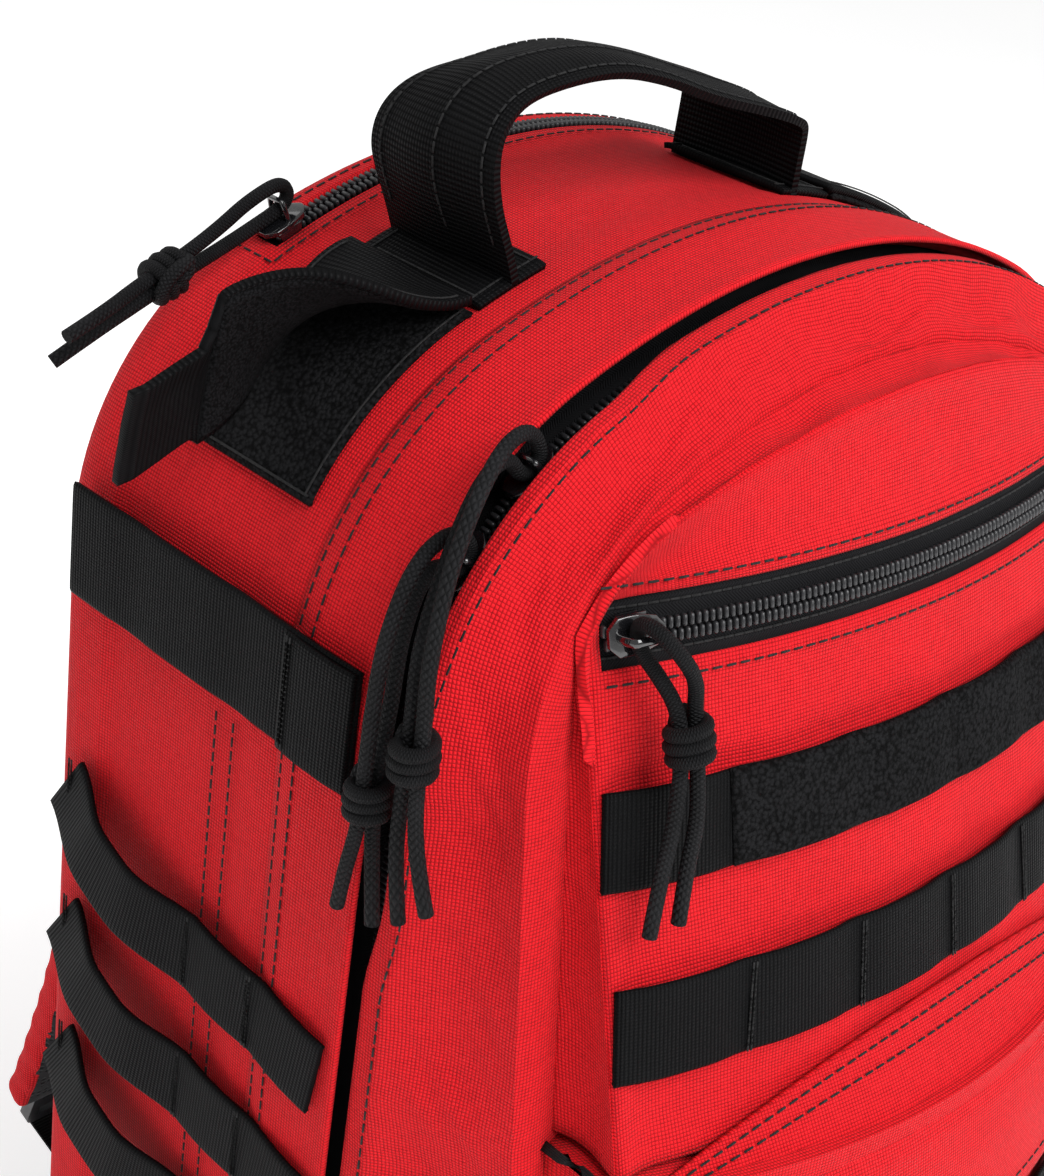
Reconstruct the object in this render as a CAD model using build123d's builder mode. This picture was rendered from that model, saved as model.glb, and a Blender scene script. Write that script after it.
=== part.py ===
"""A clamshell trauma backpack: a domed main compartment, a hinged lid with two pockets,
webbing rows, three zips with cord pulls, a carry handle and two shoulder straps.

Millimetres. +Z is up, +Y is towards the wearer's back, +X is to the wearer's right.
The origin is the middle of the face that the main compartment stands on.
"""

from build123d import *
from math import asin, atan, cos, pi, radians, sin, sqrt, tan
import os

# ---------------------------------------------------------------- driving dimensions
half_width = 144.0          # half the width of the domed front outline
crown_height = 470.0        # top of the dome above the floor
crown_radius = 224.0        # wide arc over the top
corner_radius = 89.0        # arcs that join the top to the straight sides
main_depth = 133.0          # main zip plane to the outside of the back panel
rear_round = 14.0           # soft edge between the gusset and the back panel

wall = 3.0                  # padded cloth of the main compartment
base_wall = 3.0             # padded base
back_wall = 4.0             # padded back panel
back_inset = 18.0           # back panel's seam, in from the outline
lid_wall = 2.4              # cloth and lining of the lid and the pockets
cloth_gap = 0.3             # air between two layers that only lie on each other

gusset_front = 8.0          # front edge of the main gusset, behind the zip plane
flap_depth = 30.0           # storm flap, from its sewn root to its free edge
flap_wall = 1.8
flap_foot = 20.0            # height where the flap and the main zip end

chain_half = 3.15           # half the width of a zip's chain
chain_wall = 2.4
chain_gap = 0.15            # half the slit between the two rows of teeth
chain_inset = 9.0           # main zip's chain, in from the outline
tape_wall = 1.2
tape_reach = 11.2           # main zip's tape, to each side of the zip plane
tape_inset = 11.5

lid_shoulder_inset = 1.1    # lid's outline along the zip
lid_shoulder = 11.2         # lid's straight band, in front of the zip plane
strip_wall = 2.0            # doubled cloth that the lid folds on
strip_reach = 6.9           # the fold strip's front edge, in front of the zip plane
lid_band_gap = 7.5          # lid's cloth starts this far in front of the zip plane
ridge_inset = 15.5          # lid's front edge, in from the outline
ridge_ahead = 20.0          # lid's front edge at the top, in front of the zip plane
ridge_slope = 0.14          # how far the lid's front leans out per unit down
lid_pocket_top = 330.0      # open top of the pocket inside the lid
lid_pocket_inset = 15.0
lid_pocket_ahead = 12.5

upper_half = 114.7          # upper front pocket's half width
upper_bulge = 19.5          # rise of its curved face
upper_ahead = 29.4          # its side edge at the zip, in front of the zip plane
upper_slope = 0.29          # its lean
upper_zip_height = crown_height - 55.0  # upper lip of its zip
upper_floor = 283.0         # its lower seam
upper_inset = 18.5          # its top outline, in from the dome
slot_height = 17.0          # between the lips of the pocket's zip
slot_half = 110.5           # half the length of the pocket's zip

lower_half = 118.0          # lower front pocket
lower_bulge = 30.0
lower_ahead = 73.0          # its side edge at its top, in front of the zip plane
lower_slope = 0.08
lower_top = 270.0
lower_floor = 26.0
lower_flap_drop = 55.0      # depth of the storm flap over the lower pocket's zip
lower_slot_drop = 30.0      # centre of the lower pocket's zip, down from its top

webbing = 25.4              # width of the load webbing
webbing_pitch = 50.8        # one row's top edge to the next
webbing_wall = 1.6
first_row_drop = 44.0       # top edge of the first front row, below the zip's upper lip
pile_start = -79.0          # where the loop pile begins on the first row
pile_wall = 1.4

top_webbing = 33.0          # wide webbing high on each side
top_webbing_height = crown_height - 80.0  # its upper edge
side_row_front = 5.0        # side webbing's front end, behind the zip plane
side_row_back = 118.0       # side webbing's rear end
side_row_tops = (280.0, 233.0, 186.0)
side_row_rise = 28.0        # how much higher a side row starts at the rear
side_loop_gap = 6.0         # slack of the rear loop of each side row
side_tacks = (62.0, 70.0, 106.0)

rear_zip_back = 113.0       # centre of the top zip, behind the main zip plane
rear_slot = 9.0             # slot of the top zip
rear_zip_half = 94.0        # half its length along the width

sleeve_back = 104.0         # divider of the rear sleeve, behind the zip plane
sleeve_wall = 2.0
sheet_wall = 2.0            # stiffening sheet in the back
sheet_inset = 24.0
stay_wide = 12.0
stay_thick = 3.0
stay_apart = 100.0
stay_low = 40.0
stay_high = 400.0
shelf_height = 230.0
shelf_wall = 6.0
shelf_front = 20.0

pad_wall = 10.0             # back pads
pad_column = 38.0
pad_apart = 46.0
pad_low = 150.0
pad_high = 400.0
lumbar_width = 116.0
lumbar_low = 40.0
lumbar_high = 130.0

handle_width = 45.0
handle_wall = 3.0
handle_back = 65.0          # centre of the handle, behind the zip plane
foot_left = (-84.0, -62.0)  # the handle's sewn feet, across the width
foot_right = (31.0, 53.0)
foot_wall = 1.8
foot_swing_gap = 1.7        # room under the handle's legs as it tips
tongue_width = 12.0
tongue_height = 6.5

patch_wall = 1.6
left_patch = (-133.0, -86.0)
right_patch = (56.0, 97.0)
hook_wall = 2.4
hook_length = 88.0
hook_droop = 15.0           # the lifted flap slopes down to its end, in degrees
hook_root = (-87.5, crown_height - 14.0)
right_hook = (54.5, 124.0)
right_hook_foot = crown_height - 65.0

strap_inner = 45.0          # shoulder strap's edge nearest the spine
strap_width = 60.0
strap_pad = 12.0
anchor_wall = 2.5
anchor_low = 385.0
anchor_high = 425.0
lock_width = 34.0
lock_long = 26.0
lock_wall = 5.0
lock_bar = 4.0
strap_webbing = 25.4
tab_low = 28.0
tab_high = 50.0
tab_wall = 3.0

cord = 3.8                  # diameter of the braided pull cord
knot_radius = 6.4
knot_height = 14.0
slider_long = 15.0
slider_wall = 1.5
slider_flange = 1.3
slider_run = 0.35           # running clearance of a slider on its chain
slider_lift = 0.75          # a flat slider's running height over a curved chain
bridge_bar = 1.7            # bar that the pull cord goes round
bridge_gap = 4.9            # room for the cord under the bar
bridge_half = 6.0           # half the bridge's length
upper_slider_at = 52.0      # main sliders on the left corner's arc, degrees up from level
lower_slider_at = 34.0
rear_slider_at = -23.2      # degrees from the top of the dome
front_slider_at = -17.3     # degrees from the middle of the pocket's face

# ---------------------------------------------------------------- derived places
zip_y = -main_depth / 2
back_y = main_depth / 2
corner_x = half_width - corner_radius
crown_z = crown_height - crown_radius
lean = asin(corner_x / (crown_radius - corner_radius))
corner_z = crown_z + (crown_radius - corner_radius) * cos(lean)
foot_top = foot_wall + cloth_gap


def behind(distance):
    """Y of a place behind the main zip plane."""
    return zip_y + distance


def ahead(distance):
    """Y of a place in front of the main zip plane."""
    return zip_y - distance


def facing(y):
    """The upright plane at y, seen from the front; a positive extrusion comes forward."""
    return Plane.XZ.offset(-y)


def arch(inset, foot, mode=Mode.ADD):
    """The domed outline, drawn in by inset and cut level at foot."""
    side = half_width - inset
    arc = corner_radius - inset
    half_lean = (pi / 2 - lean) / 2
    join_x = corner_x + arc * sin(lean)
    join_z = corner_z + arc * cos(lean)
    mid_x = corner_x + arc * cos(half_lean)
    mid_z = corner_z + arc * sin(half_lean)
    with BuildLine() as outline:
        Line((-side, foot), (-side, corner_z))
        ThreePointArc((-side, corner_z), (-mid_x, mid_z), (-join_x, join_z))
        ThreePointArc((-join_x, join_z), (0, crown_height - inset), (join_x, join_z))
        ThreePointArc((join_x, join_z), (mid_x, mid_z), (side, corner_z))
        Line((side, corner_z), (side, foot))
        Line((side, foot), (-side, foot))
    make_face(outline.edges(), mode=mode)


def arch_band(outer, inner, foot, front, back):
    """A band of cloth that follows the dome, open at its foot."""
    with BuildPart() as band:
        with BuildSketch(facing(front)):
            arch(outer, foot)
            arch(inner, foot - wall, Mode.SUBTRACT)
        extrude(amount=front - back)
    return band.part


def window(x_low, x_high, y_low, y_high, z_low, z_high):
    """A plain block between two corners."""
    size = (x_high - x_low, y_high - y_low, z_high - z_low)
    centre = ((x_low + x_high) / 2, (y_low + y_high) / 2, (z_low + z_high) / 2)
    return Pos(*centre) * Box(*size)


def curved(sketch_half, bulge, deep, mode=Mode.ADD):
    """Half-moon section: a curved front over a straight back, deep behind its edges."""
    with BuildLine() as outline:
        ThreePointArc((-sketch_half, 0), (0, -bulge), (sketch_half, 0))
        Line((sketch_half, 0), (sketch_half, deep))
        Line((sketch_half, deep), (-sketch_half, deep))
        Line((-sketch_half, deep), (-sketch_half, 0))
    make_face(outline.edges(), mode=mode)


def curved_strip(radius, centre, inner, outer, start, end):
    """Section of a strip that lies on a curved face, between two angles from its middle."""
    low = radius + inner
    high = radius + outer
    middle = (start + end) / 2
    points = [(r, a) for r in (low, high) for a in (start, middle, end)]
    spots = [(r * sin(a), centre - r * cos(a)) for r, a in points]
    with BuildLine() as outline:
        ThreePointArc(spots[0], spots[1], spots[2])
        Line(spots[2], spots[5])
        ThreePointArc(spots[5], spots[4], spots[3])
        Line(spots[3], spots[0])
    make_face(outline.edges())


def save(piece, name):
    """Label a finished piece and write it to its own file."""
    piece.part.label = name
    export_step(piece.part, f"parts/{name}.step")


os.makedirs("parts", exist_ok=True)

# ---------------------------------------------------------------- main compartment


def padded_block(inset, foot, back, rounding):
    """The main compartment's volume, with a soft rear edge."""
    with BuildPart() as block:
        with BuildSketch(facing(behind(gusset_front))):
            arch(inset, foot)
        extrude(amount=behind(gusset_front) - back)
        fillet(block.faces().sort_by(Axis.Y)[-1].edges(), rounding)
    return block.part


outside = padded_block(0, 0, back_y, rear_round)
inside = padded_block(wall, base_wall, back_y - back_wall, rear_round - wall)
with BuildPart() as back_opening:
    with BuildSketch(facing(back_y - back_wall - wall)):
        arch(back_inset, back_inset)
    extrude(amount=-(back_wall + 2 * wall))
top_slot = window(
    -rear_zip_half,
    rear_zip_half,
    behind(rear_zip_back - rear_slot / 2),
    behind(rear_zip_back + rear_slot / 2),
    crown_z + crown_radius * cos(asin(rear_zip_half / crown_radius)) - 3 * wall,
    crown_height + wall,
)

with BuildPart() as main_gusset:
    add(outside)
    add(inside, mode=Mode.SUBTRACT)
    add(back_opening.part, mode=Mode.SUBTRACT)
    add(top_slot, mode=Mode.SUBTRACT)
    split(bisect_by=Plane.XY.offset(base_wall), keep=Keep.TOP)
save(main_gusset, "main_gusset")

with BuildPart() as base_panel:
    add(outside)
    split(bisect_by=Plane.XY.offset(base_wall), keep=Keep.BOTTOM)
save(base_panel, "base_panel")

with BuildPart() as hinge_strip:
    with BuildSketch(Plane.XY):
        with Locations((0, behind((gusset_front - strip_reach) / 2))):
            Rectangle(2 * (half_width - lid_shoulder_inset), gusset_front + strip_reach)
    extrude(amount=strip_wall)
save(hinge_strip, "hinge_strip")

with BuildPart() as back_panel:
    with BuildSketch(facing(back_y - back_wall)):
        arch(back_inset, back_inset)
    extrude(amount=-back_wall)
save(back_panel, "back_panel")

sheet_front = back_y - back_wall - sheet_wall
with BuildPart() as frame_sheet:
    with BuildSketch(facing(sheet_front)):
        arch(sheet_inset, sheet_inset)
    extrude(amount=-sheet_wall)
save(frame_sheet, "frame_sheet")

with BuildPart() as frame_stays:
    with BuildSketch(facing(sheet_front)):
        with Locations((0, (stay_low + stay_high) / 2)):
            with GridLocations(stay_apart, 1, 2, 1):
                SlotOverall(stay_high - stay_low, stay_wide, rotation=90)
    extrude(amount=stay_thick)
save(frame_stays, "frame_stays")

with BuildPart() as rear_sleeve_panel:
    with BuildSketch(facing(behind(sleeve_back))):
        arch(wall, base_wall)
    extrude(amount=-sleeve_wall)
save(rear_sleeve_panel, "rear_sleeve_panel")

with BuildPart() as padded_shelf:
    with BuildSketch(Plane.XY.offset(shelf_height)):
        with Locations((0, behind((shelf_front + sleeve_back) / 2))):
            Rectangle(2 * (half_width - wall), sleeve_back - shelf_front)
    extrude(amount=shelf_wall)
save(padded_shelf, "padded_shelf")

with BuildPart() as back_pads:
    with BuildSketch(facing(back_y)):
        with Locations((0, (pad_low + pad_high) / 2)):
            with GridLocations(pad_apart, 1, 2, 1):
                SlotOverall(pad_high - pad_low, pad_column, rotation=90)
    extrude(amount=-pad_wall)
    fillet(back_pads.faces().group_by(Axis.Y)[-1].edges(), pad_wall / 2)
save(back_pads, "back_pads")

with BuildPart() as lumbar_pad:
    with BuildSketch(facing(back_y)):
        with Locations((0, (lumbar_low + lumbar_high) / 2)):
            RectangleRounded(lumbar_width, lumbar_high - lumbar_low, pad_column / 2)
    extrude(amount=-pad_wall)
    fillet(lumbar_pad.faces().sort_by(Axis.Y)[-1].edges(), pad_wall / 2)
save(lumbar_pad, "lumbar_pad")

with BuildPart() as storm_flap:
    add(arch_band(-flap_wall - cloth_gap, -cloth_gap, flap_foot, zip_y, behind(flap_depth)))
save(storm_flap, "storm_flap")

# ---------------------------------------------------------------- main zip
tape_inner = tape_inset + tape_wall
chain_inner = chain_inset + chain_wall

with BuildPart() as main_zip_tape:
    add(arch_band(tape_inset, tape_inner, flap_foot, behind(tape_wall), behind(tape_reach)))
    add(arch_band(wall, tape_inner, flap_foot, behind(tape_reach - tape_wall), behind(tape_reach)))
save(main_zip_tape, "main_zip_tape")

with BuildPart() as main_zip_chain:
    add(arch_band(chain_inset, chain_inner, flap_foot, behind(chain_gap), behind(chain_half)))
save(main_zip_chain, "main_zip_chain")

# ---------------------------------------------------------------- top zip of the rear sleeve
rear_angle = asin(rear_zip_half / crown_radius)


def crown_strip(inner, outer, start, end, front, back):
    """A strip over the crown between two angles, from front to back behind the zip plane."""
    with BuildPart() as strip:
        with BuildSketch(Plane.XZ.offset(-behind(front))):
            with BuildLine():
                spots = []
                for radius in (crown_radius + inner, crown_radius + outer):
                    for angle in (start, (start + end) / 2, end):
                        spots.append((radius * sin(angle), crown_z + radius * cos(angle)))
                ThreePointArc(spots[0], spots[1], spots[2])
                Line(spots[2], spots[5])
                ThreePointArc(spots[5], spots[4], spots[3])
                Line(spots[3], spots[0])
            make_face()
        extrude(amount=front - back)
    return strip.part


zip_end = rear_angle - radians(0.3)
with BuildPart() as rear_zip_tape:
    for near, far in (
        (rear_zip_back - rear_slot / 2, rear_zip_back - 2 * chain_gap),
        (rear_zip_back + 2 * chain_gap, rear_zip_back + rear_slot / 2),
    ):
        add(crown_strip(-tape_wall - 1, -1, -zip_end, zip_end, near, far))
save(rear_zip_tape, "rear_zip_tape")

with BuildPart() as rear_zip_chain:
    for near, far in (
        (rear_zip_back - chain_half, rear_zip_back - chain_gap),
        (rear_zip_back + chain_gap, rear_zip_back + chain_half),
    ):
        add(crown_strip(-1, chain_wall - 1, -zip_end, zip_end, near, far))
save(rear_zip_chain, "rear_zip_chain")

# ---------------------------------------------------------------- side webbing
side_start = flap_wall + 2 * cloth_gap


def on_side(side, plane_x):
    """Mirrors an X place to the wearer's left (-1) or right (+1)."""
    return side * (half_width + plane_x)


def side_row(side, top):
    """One row of side webbing: it hangs slack at the rear and is sewn flat at the front."""
    near = [(side_row_front, side_start), (side_tacks[0], side_start)]
    slack = [(side_tacks[1], side_start + side_loop_gap), (side_tacks[2], side_start + side_loop_gap)]
    line = near + slack + [(side_row_back, side_start)]
    outer = [(y, x + webbing_wall) for y, x in reversed(line)]
    outline = [(on_side(side, x), behind(y)) for y, x in line + outer]
    back_top = top + side_row_rise
    with BuildPart() as row:
        with BuildSketch(Plane.XY.offset(top - 2 * webbing)):
            with BuildLine():
                Polyline(*outline, close=True)
            make_face()
        extrude(amount=4 * webbing)
        with BuildSketch(Plane.YZ.offset(on_side(side, side_start + side_loop_gap / 2))):
            with BuildLine():
                Line((behind(side_row_front), top), (behind(side_row_front), top - webbing))
                Spline(
                    (behind(side_row_front), top - webbing),
                    (behind(side_tacks[0]), top - webbing + 3),
                    (behind(side_row_back), back_top - webbing),
                )
                Line((behind(side_row_back), back_top - webbing), (behind(side_row_back), back_top))
                Spline(
                    (behind(side_row_back), back_top),
                    (behind(side_tacks[0]), top + 3),
                    (behind(side_row_front), top),
                )
            make_face()
        extrude(amount=side_loop_gap, both=True, mode=Mode.INTERSECT)
    return row.part


for side, name in ((-1, "left"), (1, "right")):
    with BuildPart() as top_band:
        with BuildSketch(Plane.YZ.offset(on_side(side, side_start + webbing_wall / 2))):
            with Locations((behind((side_row_front + side_row_back) / 2), top_webbing_height - top_webbing / 2)):
                Rectangle(side_row_back - side_row_front, top_webbing)
        extrude(amount=webbing_wall / 2, both=True)
    save(top_band, f"{name}_top_webbing")
    with BuildPart() as molle_rows:
        for top in side_row_tops:
            add(side_row(side, top))
    save(molle_rows, f"{name}_molle_rows")

# ---------------------------------------------------------------- handle, patches and hook flaps
handle_front = handle_back - handle_width / 2
handle_rear = handle_back + handle_width / 2


def dome_strip(outer, inner, x_low, x_high, z_low):
    """A strip on the dome at the handle, kept between two X places and above z_low."""
    with BuildPart() as strip:
        add(arch_band(-outer, -inner, crown_z, behind(handle_front), behind(handle_rear)))
        add(
            window(x_low, x_high, behind(0), behind(2 * handle_back), z_low, 2 * crown_height),
            mode=Mode.INTERSECT,
        )
    return strip.part


with BuildPart() as handle_feet:
    for low, high in (foot_left, foot_right):
        add(dome_strip(foot_top, cloth_gap, low, high, corner_z))
save(handle_feet, "handle_feet")

patch_top = patch_wall + cloth_gap
with BuildPart() as left_loop_patch:
    add(dome_strip(patch_top, cloth_gap, left_patch[0], left_patch[1], corner_z))
save(left_loop_patch, "left_loop_patch")

with BuildPart() as right_loop_patch:
    add(dome_strip(patch_top, cloth_gap, right_patch[0], right_patch[1], corner_z))
save(right_loop_patch, "right_loop_patch")

hook_low = patch_top + cloth_gap
with BuildPart() as right_hook_flap:
    add(dome_strip(hook_low + hook_wall, hook_low, right_hook[0], right_hook[1], right_hook_foot))
save(right_hook_flap, "right_hook_flap")

droop = radians(hook_droop)
along = (-cos(droop), -sin(droop))
across = (-sin(droop), cos(droop))
with BuildPart() as left_hook_flap:
    with BuildSketch(Plane.XZ.offset(-behind(handle_front))):
        with BuildLine():
            corners = []
            for reach, lift in ((0, 0), (hook_length, 0), (hook_length, 1), (0, 1)):
                corners.append(
                    (
                        hook_root[0] + reach * along[0] + lift * hook_wall * across[0],
                        hook_root[1] + reach * along[1] + lift * hook_wall * across[1],
                    )
                )
            Polyline(*corners, close=True)
        make_face()
    extrude(amount=-handle_width)
save(left_hook_flap, "left_hook_flap")


def dome_height(x):
    """Height of the crown above the floor at x."""
    return crown_z + sqrt(crown_radius**2 - x**2)


leg_left = foot_left[0] / 2 + foot_left[1] / 2
leg_right = foot_right[0] + handle_wall * 2
left_seat = dome_height(leg_left + handle_wall / 2) + foot_top + foot_swing_gap
right_seat = dome_height(leg_right - handle_wall / 2) + foot_top + foot_swing_gap
handle_route = [
    (leg_left, left_seat),
    (leg_left, left_seat + tongue_height),
    (-84.0, crown_height + 14.0),
    (-79.0, crown_height + 32.0),
    (-38.0, crown_height + 41.5),
    (2.0, crown_height + 29.0),
    (leg_right, right_seat + 19.0),
    (leg_right, right_seat),
]
handle_bends = [8.0, 10.0, 16.0, 40.0, 40.0, 5.0]
with BuildPart() as carry_handle:
    with BuildSketch(Plane.XZ.offset(-behind(handle_front))):
        with BuildLine():
            FilletPolyline(*handle_route, radius=handle_bends)
        trace(line_width=handle_wall)
    extrude(amount=-handle_width)
    for x, seat in ((leg_left, left_seat), (leg_right, right_seat)):
        for side in (-1, 1):
            with BuildSketch(Plane.XY.offset(seat - handle_wall)):
                notch = (handle_width - tongue_width) / 2
                with Locations((x, behind(handle_back) + side * (tongue_width + notch + wall) / 2)):
                    Rectangle(4 * handle_wall, notch + wall)
            extrude(amount=tongue_height + handle_wall, mode=Mode.SUBTRACT)
save(carry_handle, "carry_handle")

# ---------------------------------------------------------------- lid
ridge_tilt = atan(ridge_slope)
ridge_crown = crown_height - ridge_inset
ridge_drop = ridge_crown * (1 - cos(ridge_tilt))
ridge_foot = -ridge_drop / cos(ridge_tilt)
ridge_base_y = ahead(ridge_ahead + ridge_slope * (crown_height - ridge_drop))
ridge = Plane(origin=(0, ridge_base_y, ridge_drop), x_dir=(1, 0, 0), z_dir=(0, -1, ridge_slope))


def lid_block(inset, foot):
    """The lid's volume: a straight band at the zip, then a slope to its leaning front."""
    with BuildPart() as block:
        with BuildSketch(facing(ahead(lid_band_gap))):
            arch(lid_shoulder_inset + inset, foot)
        extrude(amount=lid_shoulder - lid_band_gap)
        with BuildSketch(facing(ahead(lid_shoulder))):
            arch(lid_shoulder_inset + inset, foot)
        with BuildSketch(ridge):
            arch(ridge_inset + inset, ridge_foot + foot / cos(ridge_tilt))
        loft(ruled=True)
    return block.part


lid_outside = lid_block(0, 0)
lid_inside = lid_block(lid_wall, lid_wall)
with BuildPart() as lid_gusset:
    add(lid_outside)
    add(lid_inside, mode=Mode.SUBTRACT)
    split(bisect_by=Plane.XY.offset(lid_wall), keep=Keep.TOP)
save(lid_gusset, "lid_gusset")

with BuildPart() as lid_base_panel:
    add(lid_outside)
    split(bisect_by=Plane.XY.offset(lid_wall), keep=Keep.BOTTOM)
save(lid_base_panel, "lid_base_panel")

front_inset = ridge_inset + lid_wall
with BuildPart() as lid_front_panel:
    with BuildSketch(ridge):
        arch(front_inset, ridge_foot + 2 * lid_wall)
    extrude(amount=-lid_wall)
save(lid_front_panel, "lid_front_panel")

with BuildPart() as lid_inner_pocket:
    with BuildSketch(facing(ahead(lid_pocket_ahead))):
        arch(lid_pocket_inset, lid_wall)
    extrude(amount=lid_wall / 2)
    split(bisect_by=Plane.XY.offset(lid_pocket_top), keep=Keep.BOTTOM)
save(lid_inner_pocket, "lid_inner_pocket")

lid_cloth = lid_shoulder_inset + lid_wall
tape_fold = tape_reach - tape_wall
with BuildPart() as lid_zip_tape:
    add(arch_band(tape_inset, tape_inner, flap_foot, ahead(tape_fold - cloth_gap), ahead(tape_wall)))
    add(arch_band(lid_cloth, tape_inner, flap_foot, ahead(tape_reach), ahead(tape_fold)))
save(lid_zip_tape, "lid_zip_tape")

with BuildPart() as lid_zip_chain:
    add(arch_band(chain_inset, chain_inner, flap_foot, ahead(chain_half), ahead(chain_gap)))
save(lid_zip_chain, "lid_zip_chain")

# ---------------------------------------------------------------- upper front pocket
upper_tilt = atan(upper_slope)
upper_face = Plane(
    origin=(0, ahead(upper_ahead), upper_zip_height),
    x_dir=(1, 0, 0),
    z_dir=(0, upper_slope, 1),
)
upper_radius = (upper_half**2 + upper_bulge**2) / (2 * upper_bulge)
upper_centre = upper_radius - upper_bulge
upper_angle = asin(upper_half / upper_radius)
upper_deep = upper_half


def face_block(face, half, bulge, inset, low, high):
    """The volume behind a pocket's curved face, along the face's own upright."""
    with BuildPart() as block:
        with BuildSketch(face.offset(low)):
            curved(half - inset, bulge, upper_deep)
        extrude(amount=high - low)
    moved = Vector(face.y_dir) * inset
    return Pos(*moved) * block.part


def pocket_block(face, half, bulge, inset, floor, ceiling, top_inset):
    """A pocket's volume, from the lid's front to its own curved face."""
    block = face_block(face, half, bulge, inset, -crown_height, crown_height)
    with BuildPart() as pocket:
        add(block)
        split(bisect_by=ridge, keep=Keep.TOP)
        split(bisect_by=Plane.XY.offset(floor + inset), keep=Keep.TOP)
        split(bisect_by=Plane.XY.offset(ceiling - inset), keep=Keep.BOTTOM)
        with BuildSketch(facing(zip_y)):
            arch(top_inset + inset, 0)
        extrude(amount=2 * half, mode=Mode.INTERSECT)
    return pocket.part


def strip_on(face, radius, centre, inner, outer, start, end, low, high):
    """A strip on a pocket's curved face, between two angles and two heights."""
    with BuildPart() as strip:
        with BuildSketch(face.offset(low)):
            curved_strip(radius, centre, inner, outer, start, end)
        extrude(amount=high - low)
    return strip.part


upper_outside = pocket_block(
    upper_face, upper_half, upper_bulge, 0, upper_floor, crown_height, upper_inset
)
upper_room = pocket_block(
    upper_face, upper_half, upper_bulge, lid_wall, upper_floor, crown_height, upper_inset
)
slot_angle = asin(slot_half / upper_radius)
upper_slot = strip_on(
    upper_face,
    upper_radius,
    upper_centre,
    -2 * lid_wall,
    lid_wall,
    -slot_angle,
    slot_angle,
    -slot_height,
    0,
)
face_skin = face_block(upper_face, upper_half, upper_bulge, 0, -crown_height, crown_height)
face_core = Pos(*(Vector(upper_face.y_dir) * lid_wall)) * face_skin

with BuildPart() as upper_pocket_face:
    add(upper_outside)
    add(face_core, mode=Mode.SUBTRACT)
    add(upper_slot, mode=Mode.SUBTRACT)
save(upper_pocket_face, "upper_pocket_face")

with BuildPart() as upper_pocket_gusset:
    add(upper_outside)
    add(face_core, mode=Mode.INTERSECT)
    add(upper_room, mode=Mode.SUBTRACT)
    add(Pos(0, -3 * lid_wall, 0) * upper_room, mode=Mode.SUBTRACT)
save(upper_pocket_gusset, "upper_pocket_gusset")


def pocket_zip(face, radius, centre, half_long, middle, height, name):
    """The two tapes and the two rows of teeth of a pocket's zip, set into its slot."""
    angle = asin((half_long - cloth_gap) / radius)
    half_tall = height / 2
    with BuildPart() as tape:
        for low, high in ((-half_tall, -2 * chain_gap), (2 * chain_gap, half_tall)):
            add(
                strip_on(
                    face,
                    radius,
                    centre,
                    -tape_wall - 1,
                    -1,
                    -angle,
                    angle,
                    middle + low,
                    middle + high,
                )
            )
    save(tape, f"{name}_zip_tape")
    with BuildPart() as teeth:
        for low, high in ((-chain_half, -chain_gap), (chain_gap, chain_half)):
            add(
                strip_on(
                    face,
                    radius,
                    centre,
                    -1,
                    chain_wall - 1,
                    -angle,
                    angle,
                    middle + low,
                    middle + high,
                )
            )
    save(teeth, f"{name}_zip_chain")


slot_middle = -slot_height / 2
pocket_zip(upper_face, upper_radius, upper_centre, slot_half, slot_middle, slot_height, "upper")

row_inner = cloth_gap
row_outer = cloth_gap + webbing_wall
first_row_top = -first_row_drop / cos(upper_tilt)
pile_angle = asin(pile_start / upper_radius)
row_angle = upper_angle - radians(0.2)


def front_row(top, start, inner, outer):
    """One row of webbing across the upper pocket's face."""
    return strip_on(
        upper_face, upper_radius, upper_centre, inner, outer, start, row_angle, top - webbing, top
    )


with BuildPart() as front_top_webbing:
    add(front_row(first_row_top, -row_angle, row_inner, row_outer))
save(front_top_webbing, "front_top_webbing")

with BuildPart() as front_loop_pile:
    add(front_row(first_row_top, pile_angle, row_outer, row_outer + pile_wall))
save(front_loop_pile, "front_loop_pile")

with BuildPart() as front_molle_row:
    add(front_row(first_row_top - webbing_pitch, -row_angle, row_inner, row_outer))
save(front_molle_row, "front_molle_row")

# ---------------------------------------------------------------- lower front pocket
lower_face = Plane(
    origin=(0, ahead(lower_ahead), lower_top),
    x_dir=(1, 0, 0),
    z_dir=(0, lower_slope, 1),
)
lower_radius = (lower_half**2 + lower_bulge**2) / (2 * lower_bulge)
lower_centre = lower_radius - lower_bulge


def lower_block(inset):
    """The lower pocket's volume with its bottom edge rounded."""
    return pocket_block(
        lower_face, lower_half, lower_bulge, inset, lower_floor, lower_top, ridge_inset
    )


lower_outside = lower_block(0)
lower_inside = lower_block(lid_wall)
lower_slot_angle = asin(slot_half / lower_radius)
lower_slot = strip_on(
    lower_face,
    lower_radius,
    lower_centre,
    -2 * lid_wall,
    lid_wall,
    -lower_slot_angle,
    lower_slot_angle,
    -lower_slot_drop - slot_height / 2,
    -lower_slot_drop + slot_height / 2,
)
with BuildPart() as lower_pocket:
    add(lower_outside)
    add(lower_inside, mode=Mode.SUBTRACT)
    add(lower_slot, mode=Mode.SUBTRACT)
save(lower_pocket, "lower_pocket")

pocket_zip(
    lower_face, lower_radius, lower_centre, slot_half, -lower_slot_drop, slot_height, "lower"
)

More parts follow.
